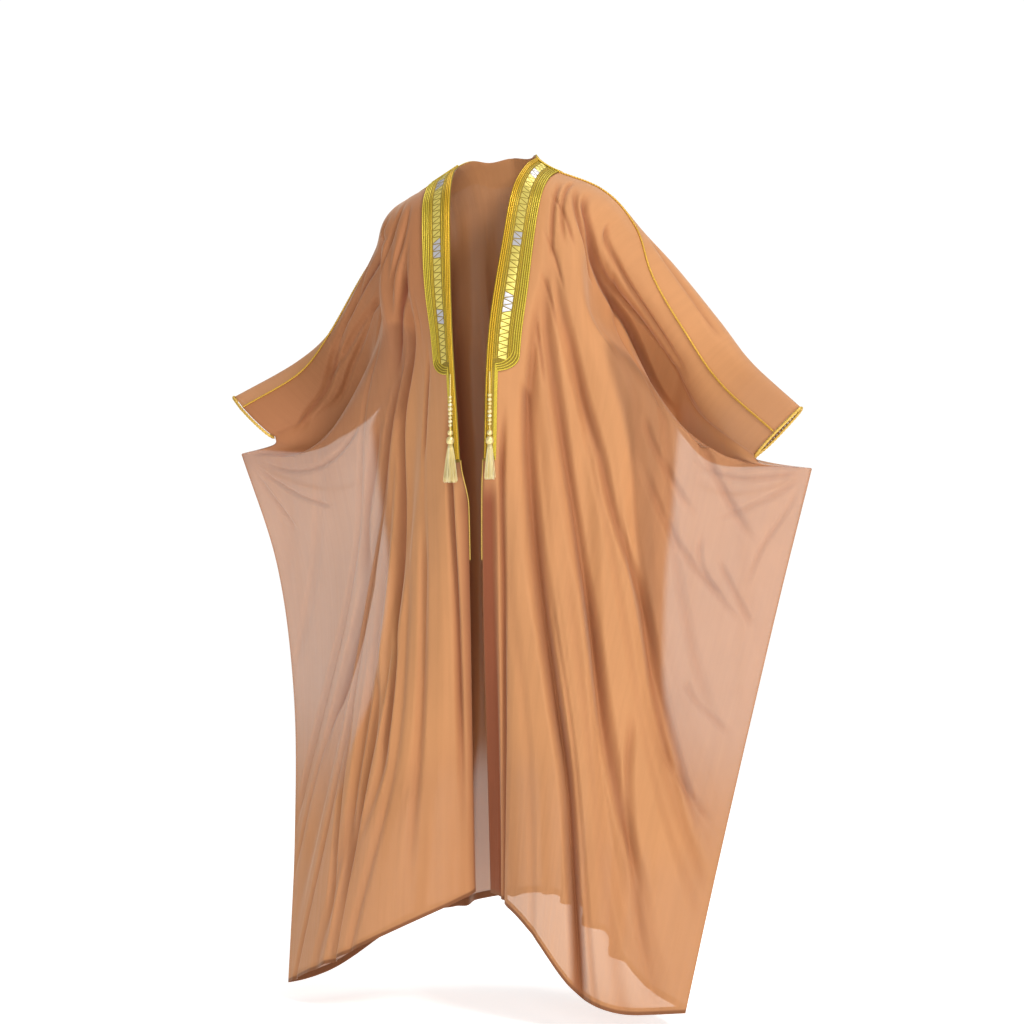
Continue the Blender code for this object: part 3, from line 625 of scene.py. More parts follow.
def sheerness(u, v, hand, back):
    """How sheer each point of a panel is: 0 where the cloth is crowded, 1 where it is taut."""
    sheer_line = spline(FALL_V, SHEER_FROM["back" if back else "front", hand], v)
    sheer = smooth_step((u[None, :] - sheer_line[:, None]) / 0.045)
    below_sleeve = smooth_step((v - SHEER_START_V) / 0.035)
    thickens = 1.0 - 0.80 * smooth_step((v - 0.58) / 0.28)
    sheer = sheer * (below_sleeve * thickens)[:, None]
    near_cuff = np.outer(smooth_step((CUFF_V * 1.2 - v) / 0.02), smooth_step((u - 0.80) / 0.12)) * SHEER_CUFF
    low = SHEER_HEM * smooth_step((v - 0.76) / 0.08)
    return np.maximum(np.maximum(sheer, near_cuff), low[:, None])


def fine_panel(u, v, hand, back=False):
    """A panel of fine cloth: its points, the shade painted on it, and how sheer it is."""
    points, normals, width = smooth_panel_normals(u, v, hand, back)
    points, painted_shade = folded(points, normals, width, u, v, hand, back)
    seam_u = seam_places(u, back)
    facing = grid_normals(smooth_panel(SEAM_PLACES, v, hand, False))[0][:, -1]
    apart = np.outer(smooth_step((v - CUFF_V) * 40.0 + 0.5), np.maximum(seam_u, 0.0) ** 12) * SEAM_CLOSE
    points = points + (-1.0 if back else 1.0) * apart[..., None] * facing[:, None, :]
    fade = 1.0 - smooth_step((v - HAND_V) / (1.0 - HAND_V))
    lift = np.outer(fade, np.maximum(seam_u, 0.0) ** 2 * HAND_LIFT)
    shoulder = fade[:, None] * SHOULDER_SLOPE * points[..., 0]
    points[..., 2] += (lift - shoulder) if hand else (shoulder - lift)
    if hand and back:
        points[..., 2] += HEM_RISE * np.outer(smooth_step((v - 0.75) / 0.25), np.sin(math.pi * u**1.4) ** 2)
    if hand:
        points[..., 0] *= -1.0
    return points, painted_shade, sheerness(u, v, hand, back)


def pairs(a, b):
    """Every pair of one value from a row or column and one from another, as an array of 2-vectors."""
    return np.stack(np.broadcast_arrays(a, b), axis=-1)


def grid_mesh(name, points, uv, attributes):
    """A single-layer mesh on a grid of points, with its flat size in metres as UVs."""
    rows, columns = points.shape[:2]
    index = np.arange(rows * columns).reshape(rows, columns)
    quads = np.stack([index[:-1, :-1], index[1:, :-1], index[1:, 1:], index[:-1, 1:]], axis=-1).reshape(-1, 4)
    return faces_object(name, points.reshape(-1, 3), quads.tolist(), uv.reshape(-1, 2), attributes)


def faces_object(name, vertices, faces, uv=None, attributes=None):
    mesh = bpy.data.meshes.new(name)
    mesh.from_pydata(np.asarray(vertices).tolist(), [], faces)
    if uv is not None:
        corners = np.empty(len(mesh.loops), np.int32)
        mesh.loops.foreach_get("vertex_index", corners)
        mesh.uv_layers.new(name="flat").data.foreach_set("uv", uv[corners].astype(np.float32).ravel())
    for key, values in (attributes or {}).items():
        layer = mesh.attributes.new(key, "FLOAT", "POINT")
        layer.data.foreach_set("value", np.asarray(values, np.float32).ravel())
    mesh.shade_smooth()
    obj = bpy.data.objects.new(name, mesh)
    bpy.context.scene.collection.objects.link(obj)
    return obj


class Parts:
    """Vertices and faces of several shapes, gathered to be one mesh."""

    def __init__(self):
        self.vertices, self.faces, self.uv, self.tone = [], [], [], []

    def add(self, vertices, faces, uv=None, tone=0.0):
        first = len(self.vertices)
        self.vertices += np.asarray(vertices).tolist()
        self.faces += [tuple(int(corner) + first for corner in face) for face in faces]
        self.uv += (np.zeros((len(vertices), 2)) if uv is None else np.asarray(uv)).tolist()
        self.tone += [tone] * len(vertices)

    def made(self, name):
        return faces_object(name, self.vertices, self.faces, np.array(self.uv), {"tone": self.tone})


def resampled(path, spacing):
    """The path's points at even spacing along it."""
    path = np.asarray(path, float)
    lengths = np.concatenate([[0.0], np.cumsum(np.linalg.norm(np.diff(path, axis=0), axis=1))])
    places = np.linspace(0.0, lengths[-1], max(3, int(round(lengths[-1] / spacing)) + 1))
    return np.stack([np.interp(places, lengths, path[:, k]) for k in range(3)], axis=1), places


def tube_faces(rings, sides, closed=False):
    """The faces between rings of points, with a cap on each end unless the last ring meets the first."""
    faces = []
    for i in range(rings if closed else rings - 1):
        k = (i + 1) % rings
        for j in range(sides):
            m = (j + 1) % sides
            faces.append((i * sides + j, i * sides + m, k * sides + m, k * sides + j))
    if not closed:
        faces.append(tuple(range(sides))[::-1])
        faces.append(tuple((rings - 1) * sides + j for j in range(sides)))
    return faces


def add_rope(parts, path, radius, strands, pitch, depth, sides, tone, closed=False):
    """A twisted cord along a path, with its strands as lobes of its section."""
    points, places = resampled(path, pitch / 5)
    if closed:
        points, places = points[:-1], places[:-1]
        tangents = unit(np.roll(points, -1, axis=0) - np.roll(points, 1, axis=0))
    else:
        tangents = unit(np.gradient(points, axis=0))
    normal = unit(np.cross(tangents[0], [0.0, 0.3, 1.0]))
    normals = []
    for tangent in tangents:
        normal = unit(normal - tangent * float(normal @ tangent))
        normals.append(normal)
    normals = np.array(normals)
    binormals = np.cross(tangents, normals)
    angle = np.arange(sides) * 2 * math.pi / sides
    twist = 2 * math.pi * places / (pitch * strands)
    lobes = 0.5 + 0.5 * np.cos(strands * (angle[None, :] - twist[:, None]))
    size = radius * (1.0 - depth * (1.0 - lobes))
    ring = (
        points[:, None, :]
        + normals[:, None, :] * (np.cos(angle)[None, :] * size)[..., None]
        + binormals[:, None, :] * (np.sin(angle)[None, :] * size)[..., None]
    )
    uv = pairs(angle[None, :] * radius, places[:, None])
    parts.add(ring.reshape(-1, 3), tube_faces(len(points), sides, closed), uv.reshape(-1, 2), tone)


def rope(name, path, kind, closed=False):
    """One rope as a piece of its own."""
    parts = Parts()
    add_rope(parts, path, *kind, closed=closed)
    return parts.made(name)


def add_lathe(parts, centre, profile, sides, ribs, rib_depth, tone):
    """A turned shape round an upright axis: profile holds (radius, drop) pairs down its side."""
    angle = np.arange(sides) * 2 * math.pi / sides
    swell = 1.0 + rib_depth * np.cos(ribs * angle)
    vertices = [
        (centre[0] + radius * s * math.cos(a), centre[1] + radius * s * math.sin(a), centre[2] - drop)
        for radius, drop in profile
        for a, s in zip(angle, swell)
    ]
    # The rings go down, so each face is turned round.
    faces = [(face[0], *face[:0:-1]) for face in tube_faces(len(profile), sides)]
    uv = [(a * radius, drop) for radius, drop in profile for a in angle]
    parts.add(vertices, faces, uv, tone)


def add_thread(parts, line, radius, tone):
    """A thin thread with a square section."""
    tangents = unit(np.gradient(line, axis=0))
    side = unit(np.cross(tangents, [0.31, 0.95, 0.0]))
    other = np.cross(tangents, side)
    ring = np.stack([line + corner * radius for corner in (side, other, -side, -other)], axis=1)
    parts.add(ring.reshape(-1, 3), tube_faces(len(line), 4), None, tone)


def front_strip(hand):
    """The front under the band and strip: a grid of points, the ways outward and the metres across."""
    if hand not in FRONT_STRIPS:
        points = fine_panel(STRIP_COLUMNS, STRIP_ROWS, hand)[0]
        steps = np.linalg.norm(np.diff(points, axis=1), axis=-1)
        metres = np.concatenate([np.zeros((len(points), 1)), np.cumsum(steps, axis=1)], axis=1)
        metres = np.array([np.convolve(column, np.ones(9) / 9, "same") for column in metres.T]).T
        metres[:4], metres[-4:] = metres[4], metres[-5]
        FRONT_STRIPS[hand] = (points, grid_normals(points)[0] * (-1.0 if hand else 1.0), metres)
    return FRONT_STRIPS[hand]


def band_surface(u, v, hand):
    """Points of the band's place on the front, for matching lists of u and v, and the way outward.

    A band keeps one width, so its u is a share of that width and not of the cloth under it.
    """
    points, ways, metres = front_strip(hand)
    row = np.clip(np.asarray(v) / STRIP_ROWS[-1] * (len(STRIP_ROWS) - 1), 0.0, len(STRIP_ROWS) - 1.001)
    i = row.astype(int)
    wanted = np.asarray(u) / BAND_SHARE * BAND_WIDTH
    column = np.array([np.interp(x, metres[k], np.arange(len(STRIP_COLUMNS))) for x, k in zip(wanted, i)])
    j = np.minimum(column.astype(int), len(STRIP_COLUMNS) - 2)
    s, t = (row - i)[:, None], (column - j)[:, None]
    at, way = (
        (grid[i, j] * (1 - t) + grid[i, j + 1] * t) * (1 - s)
        + (grid[i + 1, j] * (1 - t) + grid[i + 1, j + 1] * t) * s
        for grid in (points, ways)
    )
    return at, unit(way)


def share_of(metres):
    """Metres across the band as a share of the front's width."""
    return metres / BAND_WIDTH * BAND_SHARE


def outline(offset):
    """The band's outer outline moved in by an offset: u and v from the shoulder seam to the strip's end."""
    wide = share_of(BAND_WIDTH - offset)
    slim = share_of(STRIP_WIDTH - offset * STRIP_WIDTH / BAND_WIDTH)
    turn = np.linspace(0.0, math.pi / 2, 14)
    end = BAND_END_V - offset / CUT_LENGTH
    straight = np.linspace(0.0, end - CORNER_V, 70)
    corner_u = slim + (wide - slim) * np.cos(turn[1:])
    corner_v = end - CORNER_V + CORNER_V * np.sin(turn[1:])
    tail = np.linspace(end, STRIP_END_V - offset / CUT_LENGTH, 34)[1:]
    u = np.concatenate([np.full(len(straight), wide), corner_u, np.full(len(tail), slim)])
    return u, np.concatenate([straight, corner_v, tail])


def lifted(u, v, hand, height):
    """Points over the band's face, at a height above it."""
    at, way = band_surface(np.asarray(u, float), np.asarray(v, float), hand)
    return at + way * (BAND_LIFT + height)


def band_sheet(name, hand, start, end, width_at):
    """The band's ground, from place start to place end, with its outer edge where width_at says."""
    rows = np.linspace(start, end, max(12, int((end - start) * 520)))
    share = np.linspace(0.0, 1.0, 19)
    u = np.outer(width_at(rows), share)
    v = np.repeat(rows[:, None], len(share), axis=1)
    at, way = band_surface(u.ravel(), v.ravel(), hand)
    top = (at + way * BAND_LIFT).reshape(*u.shape, 3)
    low = (at + way * (BAND_LIFT - BAND_THICKNESS)).reshape(*u.shape, 3)
    around = np.concatenate([low[:, :1], top, low[:, -1:], low[:, ::-1][:, 1:-1], low[:, :1]], axis=1)
    places = np.concatenate([[-0.1], share, [1.1], share[::-1][1:-1], [-0.1]])
    uv = pairs(places[None, :] * BAND_WIDTH, rows[:, None] * CUT_LENGTH)
    return grid_mesh(name, around, uv, {"tone": np.zeros(around.shape[:2])})


def band_width(v):
    """How far across the front the band reaches at a place down it."""
    slim = share_of(STRIP_WIDTH)
    turn = np.clip((v - (BAND_END_V - CORNER_V)) / CORNER_V, 0.0, 1.0)
    return slim + (BAND_SHARE - slim) * np.sqrt(1.0 - turn**2)


def strip_width(v):
    """How far across the front the strip reaches: its end is rounded off."""
    ends = np.clip((STRIP_END_V - v) / 0.006, 0.0, 1.0)
    return share_of(STRIP_WIDTH) * (0.35 + 0.65 * np.sqrt(1.0 - (1.0 - ends) ** 2))


def embroidery(side, hand):
    """The cords and the chain of triangles on one front's band."""
    cords, chain = Parts(), Parts()
    for offset in OUTER_CORDS:
        kind = BORDER_ROPE if offset == OUTER_CORDS[0] else OUTER_ROPE
        add_rope(cords, lifted(*outline(offset), hand, 0.0004), *kind)
    for offsets, end, count, height, kind in (
        (INNER_CORDS, STRIP_END_V - 0.004, 100, 0.0006, INNER_ROPE),
        (FINE_CORDS, BAND_END_V - 0.016, 80, 0.0002, FINE_ROPE),
    ):
        for offset in offsets:
            path = lifted(np.full(count, share_of(offset)), np.linspace(0.0, end, count), hand, height)
            add_rope(cords, path, *kind)
    seam_u = np.linspace(0.0, BAND_SHARE, 14)
    add_rope(cords, lifted(seam_u, np.full(14, 0.0012), hand, 0.0016), *SEAM_ROPE)

    step = CHAIN_PITCH / 2 / CUT_LENGTH
    low_u, high_u = share_of(CHAIN_FROM), share_of(CHAIN_TO)
    inset_v = step * 0.14
    inset_u = (high_u - low_u) * 0.05
    for i in range(1, int((BAND_END_V - 0.009) / step)):
        tip_u, base_u = (high_u - inset_u, low_u + inset_u) if i % 2 else (low_u + inset_u, high_u - inset_u)
        middle = i * step
        corners_u = np.array([base_u, tip_u, base_u])
        corners_v = np.array([middle - step + inset_v * 2, middle, middle + step - inset_v * 2])
        rim = lifted(corners_u, corners_v, hand, 0.0001)
        apex = lifted([corners_u.mean()], [corners_v.mean()], hand, CHAIN_RISE)
        silver = min(abs(middle - place) for place in SILVER_V[hand]) < SILVER_REACH_V
        chain.add(np.concatenate([rim, apex]), CHAIN_FACES, None, 1.0 if silver else 0.0)
    return cords.made(f"band_cords_{side}"), chain.made(f"band_chain_{side}")


def nape_points(u, v):
    """Points round the nape for signed places u across the back, one row for each place v."""
    reach = np.abs(u)
    out = np.zeros((len(v), len(u), 3))
    for hand, picked in ((0, u >= 0), (1, u < 0)):
        at = np.flatnonzero(picked)
        if len(at):
            ranked = at[np.argsort(reach[at])]
            out[:, ranked] = fine_panel(reach[ranked], v, hand, True)[0]
    return out


def nape_band():
    """The band round the nape: its ground, its cords and its chain."""
    left, right = (
        NECK_SHARE + (1.0 - NECK_SHARE) * float(np.interp(BAND_WIDTH, front_strip(hand)[2][0], STRIP_COLUMNS))
        for hand in (0, 1)
    )
    u = np.concatenate([np.linspace(-right, 0.0, 61)[:-1], np.linspace(0.0, left, 61)])
    v = np.linspace(0.0015, NAPE_BAND_V, 15)
    points = nape_points(u, v)
    centre = len(u) // 2
    points[:, centre] = (points[:, centre - 1] + points[:, centre + 1]) / 2
    ways = grid_normals(points)[0] * -1.0
    top = points + ways * BAND_LIFT
    low = points + ways * (BAND_LIFT - BAND_THICKNESS)
    around = np.concatenate([low[:1], top, low[-1:], low[::-1][1:-1], low[:1]], axis=0)
    share = np.linspace(0, 1, len(v))
    places = np.concatenate([[-0.1], share, [1.1], share[::-1][1:-1], [-0.1]])
    flat = pairs(places[:, None] * BAND_WIDTH, u[None, :] * 1.6)
    ground = grid_mesh("nape_band", around, flat, {"tone": np.zeros(around.shape[:2])})

    def row(offset, height):
        place = np.clip(offset / BAND_WIDTH, 0.0, 1.0) * (len(v) - 1)
        low_row = min(int(place), len(v) - 2)
        share = place - low_row
        at = points[low_row] * (1 - share) + points[low_row + 1] * share
        way = unit(ways[low_row] * (1 - share) + ways[low_row + 1] * share)
        return at + way * (BAND_LIFT + height)

    cords, chain = Parts(), Parts()
    outer_cords = [BAND_WIDTH - offset for offset in OUTER_CORDS]
    for offsets, height, kind in (
        (INNER_CORDS, 0.0006, INNER_ROPE),
        (outer_cords, 0.0004, NAPE_ROPE),
        (FINE_CORDS, 0.0002, FINE_ROPE),
    ):
        for offset in offsets:
            add_rope(cords, row(offset, height), *kind)
    inner, outer, crest = (
        resampled(row(offset, height), CHAIN_PITCH / 2)[0]
        for offset, height in (
            (CHAIN_FROM, 0.0001),
            (CHAIN_TO, 0.0001),
            ((CHAIN_FROM + CHAIN_TO) / 2, CHAIN_RISE),
        )
    )
    for i in range(1, min(len(inner), len(outer), len(crest)) - 1):
        base, tip = (inner, outer) if i % 2 else (outer, inner)
        rim = np.array([base[i - 1] * 0.86 + base[i] * 0.14, tip[i], base[i + 1] * 0.86 + base[i] * 0.14])
        chain.add(np.concatenate([rim, crest[i : i + 1]]), CHAIN_FACES, None, float(i % 30 < 4))
    return ground, cords.made("nape_cords"), chain.made("nape_chain")


def shoulder_piping(side, hand):
    """The twisted piping over a shoulder seam, from the band to the cuff."""
    v = np.array([SEAM_INSET_V, 0.004, 0.008])
    u = np.linspace(BAND_SHARE * 0.6, 1.0, 150)
    front = fine_panel(u, v, hand)[0]
    back = fine_panel(NECK_SHARE + (1.0 - NECK_SHARE) * u, v, hand, True)[0]
    sign = -1.0 if hand else 1.0
    up = unit(grid_normals(front)[0][0] * sign - grid_normals(back)[0][0] * sign)
    return rope(f"piping_{side}", (front[0] + back[0]) / 2 + up * PIPING_RADIUS * 0.7, PIPING_ROPE)


def cuff_ring(side, hand):
    """The braided piping round a cuff."""
    v = np.linspace(SEAM_INSET_V, CUFF_V, 30)
    halves = []
    for back in (False, True):
        points = fine_panel(np.array([0.97, 0.985, 1.0]), v, hand, back)[0]
        away = unit(points[:, -1] - points[:, -2])
        halves.append(points[:, -1] + away * (CUFF_PIPING_RADIUS + 3 * GAP))
    ring = np.concatenate([halves[0], halves[1][-2:0:-1], halves[0][:1]])
    return rope(f"cuff_braid_{side}", ring, CUFF_ROPE, closed=True)


def edge_cord(side, hand):
    """The fine cord down the front edge, below the strip."""
    v = np.linspace(STRIP_END_V - 0.002, EDGE_CORD_END_V, 40)
    edge, inner = (band_surface(np.full(len(v), u), v, hand)[0] for u in (0.0, 0.01))
    return rope(f"edge_line_{side}", edge + unit(edge - inner) * (EDGE_CORD_RADIUS + GAP), EDGE_ROPE)


def tassel(side, hand):
    """A tassel's cord, beads, head and skirt of thread. Returns them with the cord's path and length."""
    ends = band_surface(np.array([0.0, TASSEL_PLACE]), np.full(2, BAND_END_V), hand)[0]
    top = ends.mean(axis=0) + np.array([0.0, -TASSEL_CLEARANCE, 0.0])
    drop = TASSEL_DROP[hand]
    inside = HEAD_LENGTH + CORD_IN_SKIRT
    path = top + np.outer(np.linspace(0.0, drop + inside, 60), [0.0, 0.0, -1.0])
    cord = rope(f"tassel_line_{side}", path, TASSEL_ROPE)

    rng = np.random.default_rng(31 + hand)
    beads, head, skirt = Parts(), Parts(), Parts()
    at = BEADS_FROM
    while at < BEADS_FROM + BEADS_LENGTH - 0.006:
        size = rng.uniform(*BEAD_SIZES)
        shape = [
            (size * max(math.sin(a), 0.30), at + size * 0.9 * (1.0 - math.cos(a)))
            for a in np.linspace(0.15, math.pi - 0.15, 9)
        ]
        add_lathe(beads, top, shape, 16, 8, 0.06, float(rng.uniform(0.0, 1.0)))
        at += size * 1.8 + 0.0004

    start = drop - 0.012
    collar = (start, COLLAR_RADIUS, COLLAR_LENGTH)
    for begin, radius, long in (collar, (start + 0.0115, HEAD_RADIUS, HEAD_LENGTH)):
        shape = []
        for a in np.linspace(0.12, math.pi - 0.12, 26):
            ribbed = 1.0 + 0.05 * math.cos(a * 26)
            shape.append((radius * math.sin(a) ** 0.8 * ribbed, begin + long * (1.0 - math.cos(a)) / 2))
        add_lathe(head, top, shape, 24, 12, 0.025, 0.3)

    skirt_top = drop + HEAD_LENGTH - 0.002
    for _ in range(SKIRT_THREADS):
        angle = rng.uniform(0.0, 2 * math.pi)
        reach = SKIRT_RADIUS[hand] * math.sqrt(rng.uniform(0.25, 1.0))
        sway = rng.uniform(-0.0012, 0.0012, 2)
        long = SKIRT_LENGTH[hand] * rng.uniform(0.93, 1.0)
        way = np.linspace(0.0, 1.0, 8)
        radius = SKIRT_BINDING + (reach - SKIRT_BINDING) * way**0.75
        swirl = angle + 0.25 * way * rng.uniform(-1.0, 1.0)
        line = np.stack([
            top[0] + radius * np.cos(swirl) + sway[0] * way,
            top[1] + radius * np.sin(swirl) + sway[1] * way,
            top[2] - skirt_top - long * way,
        ], axis=1)
        add_thread(skirt, line, THREAD_RADIUS, float(rng.uniform(0.0, 1.0)))
    made = [cord, beads.made(f"bead_string_{side}")]
    made += [head.made(f"tassel_knot_{side}"), skirt.made(f"tassel_threads_{side}")]
    return made, path, drop + inside


def node(tree, kind, **inputs):
    """A shader node with its inputs set: a plain value, or a link from another node's socket.

    i0 and i1 stand for the first and second input of a node whose inputs share one name.
    """
    made = tree.nodes.new(kind)
    for key, value in inputs.items():
        if key in ("operation", "attribute_name", "uv_map"):
            setattr(made, key, value)
            continue
        socket = made.inputs[int(key[1:])] if key in ("i0", "i1") else made.inputs[key]
        if hasattr(value, "links"):
            tree.links.new(value, socket)
        else:
            socket.default_value = value
    return made


def new_material(name):
    material = bpy.data.materials.new(name)
    material.use_nodes = True
    tree = material.node_tree
    return material, tree, tree.nodes["Principled BSDF"]


def read(tree, name):
    return node(tree, "ShaderNodeAttribute", attribute_name=name).outputs["Fac"]


def arithmetic(tree, operation, a, b, clamp=False):
    made = node(tree, "ShaderNodeMath", operation=operation, i0=a, i1=b)
    made.use_clamp = clamp
    return made.outputs[0]


def plus(tree, a, b, clamp=False):
    return arithmetic(tree, "ADD", a, b, clamp)


def times(tree, a, b):
    return arithmetic(tree, "MULTIPLY", a, b)


def mixed(tree, share, a, b):
    made = tree.nodes.new("ShaderNodeMix")
    made.data_type = "RGBA"
    for index, value in ((0, share), (6, a), (7, b)):
        if hasattr(value, "links"):
            tree.links.new(value, made.inputs[index])
        else:
            made.inputs[index].default_value = value
    return made.outputs[2]


def flat_places(tree, scale=None):
    """The place on the flat cloth or thread, in metres or stretched by a scale."""
    flat = node(tree, "ShaderNodeUVMap", uv_map="flat").outputs[0]
    return node(tree, "ShaderNodeMapping", Vector=flat, Scale=scale).outputs[0] if scale else flat


def noise(tree, places, scale, detail):
    return node(tree, "ShaderNodeTexNoise", Vector=places, Scale=scale, Detail=detail).outputs[0]


def colour_by_value(tree, shader, value, base):
    """The base colour made lighter or darker by a value near 1."""
    toned = node(tree, "ShaderNodeHueSaturation", Value=value, Color=base).outputs[0]
    tree.links.new(toned, shader.inputs["Base Color"])


def set_inputs(shader, **values):
    """Plain values for sockets, with _ for each space of a socket's name."""
    for key, value in values.items():
        shader.inputs[key.replace("_", " ")].default_value = value


def cloth_material(name, gathered, thin):
    """Crepe-like sheer cloth: how opaque it is where it is gathered and where it is stretched thin."""
    material, tree, shader = new_material(name)
    painted_shade, sheer, hem = (read(tree, key) for key in ("painted_shade", "sheer", "hem"))
    slub = noise(tree, flat_places(tree), 7.0, 3.0)
    streak = noise(tree, flat_places(tree, (60.0, 3.0, 1.0)), 1.0, 4.0)
    base = mixed(tree, sheer, CLOTH, THIN)
    # Painted shade: the colour is drawn toward the shade colour on the folds' floors, the turned edge and the
    # wearer's right side.
    base = mixed(tree, painted_shade, base, SHADE_COLOUR)
    base = mixed(tree, hem, base, HEM)
    uneven = plus(tree, times(tree, slub, 0.16), times(tree, streak, 0.10))
    colour_by_value(tree, shader, plus(tree, uneven, 0.87), base)
    open_share = times(tree, sheer, gathered - thin)
    weave = times(tree, arithmetic(tree, "SUBTRACT", streak, 0.5), 0.06)
    alpha = plus(tree, arithmetic(tree, "SUBTRACT", gathered, open_share), weave)
    # Where shade is painted, and along the hem, the cloth is also made more opaque.
    covered = plus(tree, times(tree, painted_shade, 0.30), times(tree, hem, 0.5))
    tree.links.new(plus(tree, alpha, covered, clamp=True), shader.inputs["Alpha"])
    crepe = noise(tree, flat_places(tree), 900.0, 2.0)
    fine = node(tree, "ShaderNodeBump", Strength=0.10, Distance=0.0004, Height=crepe)
    fine = fine.outputs[0]
    crumple = node(tree, "ShaderNodeBump", Strength=0.35, Distance=0.003, Height=streak, Normal=fine)
    tree.links.new(crumple.outputs[0], shader.inputs["Normal"])
    set_inputs(shader, Roughness=0.68, Sheen_Weight=0.35, Sheen_Roughness=0.45, Specular_IOR_Level=0.30)
    set_inputs(shader, Sheen_Tint=(1.0, 0.82, 0.66, 1.0))
    return material


def metal_thread(name, colours, roughness, metallic, stripe=0.0):
    """Metal-wrapped thread: one tone, or two picked by the piece's own tone, with fine wrapping."""
    material, tree, shader = new_material(name)
    base = colours[0]
    if len(colours) > 1:
        base = mixed(tree, read(tree, "tone"), *colours)
    grain = noise(tree, flat_places(tree), 420.0, 3.0)
    colour_by_value(tree, shader, plus(tree, times(tree, grain, 1.2), 0.42), base)
    height = grain
    if stripe:
        place = flat_places(tree, (stripe, stripe * 0.35, 1.0))
        lines = node(tree, "ShaderNodeTexWave", Vector=place, Scale=1.0, Distortion=1.5, Detail=1.0)
        height = plus(tree, times(tree, lines.outputs[0], 0.7), grain)
    bump = node(tree, "ShaderNodeBump", Strength=0.45, Distance=0.0005, Height=height)
    tree.links.new(bump.outputs[0], shader.inputs["Normal"])
    set_inputs(shader, Roughness=roughness, Metallic=metallic)
    return material


def seam_row(points, u, hand, back):
    """The row along the shoulder seam, where the front and back meet, or round the nape the rim."""
    own = points[0]
    near = np.array([SEAM_INSET_V, 0.004])
    if not back:
        return (own + fine_panel(NECK_SHARE + (1.0 - NECK_SHARE) * u, near, hand, True)[0][0]) / 2
    place = (u - NECK_SHARE) / (1.0 - NECK_SHARE)
    met = (own + fine_panel(np.clip(place, 0.0, 1.0), near, hand)[0][0]) / 2
    rim = own + (own - points[1]) * 0.15
    return np.where((place > 0.0)[:, None], met, rim)


def hemmed(values):
    """A panel's rows, with one more at the seam and the hem's rows again, turned up inside."""
    return np.concatenate([values[:1], values, values[-2 : -2 - HEM_ROWS : -1]])


def cloth(name, halves, back):
    """One cloth, made of one half or of two that meet at the centre back, with a hem along its foot."""
    hem_v = 1.0 - HEM_V
    v = np.concatenate([np.linspace(SEAM_INSET_V, hem_v, FINE_ROWS), np.linspace(hem_v, 1.0, 7)[1:]])
    grids, seams = [], []
    for u, hand in halves:
        points, painted_shade, sheer = fine_panel(u, v, hand, back)
        facing = grid_normals(points)[0] * (-1.0 if (hand == 1) != back else 1.0)
        grids.append((points, painted_shade, sheer, facing))
        seams.append(seam_row(points, u, hand, back))
    if back:
        # The back is one cloth: its wearer's-right half is laid out first, from the seam inward.
        points, painted_shade, sheer, facing = (
            np.concatenate([other[:, :0:-1], (one[:, :1] + other[:, :1]) / 2, one[:, 1:]], axis=1)
            for one, other in zip(*grids)
        )
        seam = np.concatenate([seams[1][:0:-1], seams[0]])
        across_uv = np.concatenate([-halves[1][0][:0:-1], [0.0], halves[0][0][1:]])
    else:
        points, painted_shade, sheer, facing = grids[0]
        seam = seams[0]
        across_uv = halves[0][0]
    points = hemmed(points)
    points[0] = seam
    points[-HEM_ROWS:] -= facing[-2 : -2 - HEM_ROWS : -1] * HEM_TURN
    places = np.concatenate([[0.0], v, 1.0 + (1.0 - v[-2 : -2 - HEM_ROWS : -1])])
    hem = smooth_step((places - (1.0 - HEM_V - 0.0006)) / 0.0006)
    hem = np.repeat(hem[:, None], points.shape[1], axis=1)
    sides = 0.45 * smooth_step((np.abs(across_uv) - 0.9945) / 0.003)
    edge = 0.0 if back else 1.0
    line = np.maximum(sides, edge * smooth_step((0.0045 - across_uv) / 0.002))
    hem = np.maximum(hem, 0.85 * line[None, :])
    uv = pairs(across_uv[None, :] * CUT_WIDTH, -places[:, None] * CUT_LENGTH)
    return grid_mesh(name, points, uv, {"painted_shade": hemmed(painted_shade), "sheer": hemmed(sheer), "hem": hem})


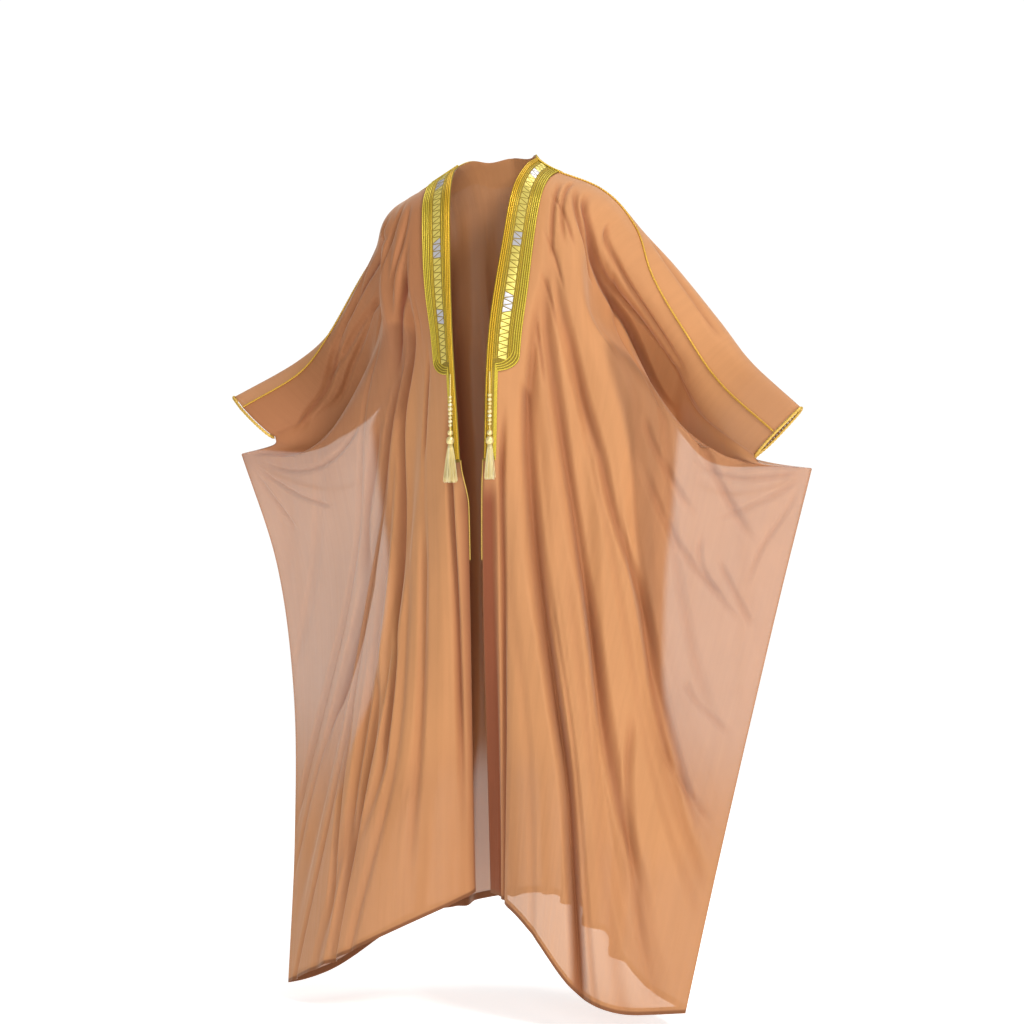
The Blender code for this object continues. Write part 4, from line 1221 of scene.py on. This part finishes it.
def build():
    """Every piece of the cloak, riding on its solids."""
    front_material = cloth_material("bisht_cloth_front", 0.965, 0.565)
    back_material = cloth_material("bisht_cloth_back", 0.985, 0.58)
    ground = metal_thread("gold_ground", [(0.30, 0.205, 0.018, 1.0)], 0.50, 0.35, stripe=900.0)
    gold = metal_thread("gold_cord", [(0.66, 0.52, 0.055, 1.0), (0.66, 0.41, 0.025, 1.0)], 0.36, 0.55)
    gold_and_silver = [(0.80, 0.66, 0.16, 1.0), (0.58, 0.57, 0.61, 1.0)]
    chain_gold = metal_thread("gold_and_silver", gold_and_silver, 0.34, 0.5, stripe=700.0)
    piping = metal_thread("gold_piping", [(0.62, 0.36, 0.05, 1.0), (0.72, 0.56, 0.16, 1.0)], 0.40, 0.5)
    pale = metal_thread("pale_gold", [(0.76, 0.59, 0.20, 1.0), (0.86, 0.78, 0.50, 1.0)], 0.33, 0.5)

    for hand, side in enumerate(("left", "right")):
        front = cloth(f"cloth_front_{side}", [(np.linspace(0.0, 1.0, FRONT_FINE), hand)], False)
        placed(front, f"front_{side}", front_material)
        band = band_sheet(f"band_ground_{side}", hand, 0.0, BAND_END_V, band_width)
        strip = band_sheet(f"strip_ground_{side}", hand, BAND_END_V, STRIP_END_V, strip_width)
        cords, chain = embroidery(side, hand)
        sewn = [
            placed(band, f"band_{side}", ground),
            placed(strip, f"strip_{side}", ground),
            placed(cords, None, gold),
            placed(chain, None, chain_gold),
            placed(edge_cord(side, hand), f"edge_cord_{side}", piping),
            placed(shoulder_piping(side, hand), f"shoulder_piping_{side}", piping),
            placed(cuff_ring(side, hand), f"cuff_piping_{side}", piping),
        ]
        pieces, path, length = tassel(side, hand)
        for piece, cad in zip(pieces, ("cord", "beads", "head", "skirt")):
            placed(piece, f"tassel_{cad}_{side}", pale)
    halves = [(np.linspace(0.0, 1.0, BACK_FINE), hand) for hand in (0, 1)]
    back = placed(cloth("cloth_back", halves, True), "back", back_material)
    nape = list(nape_band())
    for piece, cad, material in zip(nape, ("band_back", None, None), (ground, gold, chain_gold)):
        placed(piece, cad, material)


def placed(obj, cad, material):
    """A piece with its material and slot, riding on the cloak and standing in for a node of the CAD."""
    obj.data.materials.append(material)
    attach(obj, "root")
    if cad:
        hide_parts(cad)
    return obj


def area_light(name, location, target, size, power, colour):
    lamp = bpy.data.lights.new(name, "AREA")
    lamp.shape, lamp.size, lamp.energy, lamp.color = "DISK", size, power, colour
    obj = bpy.data.objects.new(name, lamp)
    obj.location = location
    obj.rotation_euler = (Vector(target) - Vector(location)).to_track_quat("-Z", "Y").to_euler()
    bpy.context.scene.collection.objects.link(obj)


def set_stage():
    """A white floor under the cloak and a white sky that is softer as light than it looks."""
    around = np.linspace(0.0, 2 * math.pi, FLOOR_SIDES, endpoint=False)
    rim = [(FLOOR_RADIUS * x, FLOOR_RADIUS * y, FLOOR_Z) for x, y in zip(np.cos(around), np.sin(around))]
    floor = faces_object("floor", rim, [tuple(range(FLOOR_SIDES))])
    material, _, shader = new_material("floor_white")
    set_inputs(shader, Base_Color=(0.93, 0.93, 0.93, 1.0), Roughness=0.9, Specular_IOR_Level=0.0)
    set_inputs(shader, Emission_Color=(1.0, 1.0, 1.0, 1.0), Emission_Strength=FLOOR_GLOW)
    floor.data.materials.append(material)

    world = bpy.data.worlds.new("studio")
    world.use_nodes = True
    tree = world.node_tree
    sky = tree.nodes["Background"]
    sky.inputs[0].default_value = (1.0, 0.995, 0.985, 1.0)
    seen = tree.nodes.new("ShaderNodeLightPath").outputs["Is Camera Ray"]
    tree.links.new(plus(tree, times(tree, seen, SKY_SEEN - SKY_LIGHT), SKY_LIGHT), sky.inputs[1])
    bpy.context.scene.world = world
    area_light("key", (3.3, -2.1, 2.2), (0.0, 0.0, -0.5), 1.2, 126.0, (1.0, 0.97, 0.93))
    area_light("fill", (1.9, -4.3, 0.0), (0.0, 0.0, -0.8), 2.0, 44.0, (0.96, 0.98, 1.0))
    area_light("top", (0.2, 0.6, 2.4), (0.0, 0.0, -0.4), 1.8, 26.0, (1.0, 1.0, 1.0))

    lens = bpy.data.cameras.new("view")
    lens.lens, lens.sensor_width = VIEW_LENS, 36.0
    camera = bpy.data.objects.new("view", lens)
    camera.location, camera.rotation_euler = VIEW_AT, (math.radians(90.0), 0.0, VIEW_TURN)
    bpy.context.scene.collection.objects.link(camera)
    bpy.context.scene.camera = camera
    bpy.context.scene.view_settings.view_transform = "Standard"


build()
set_stage()
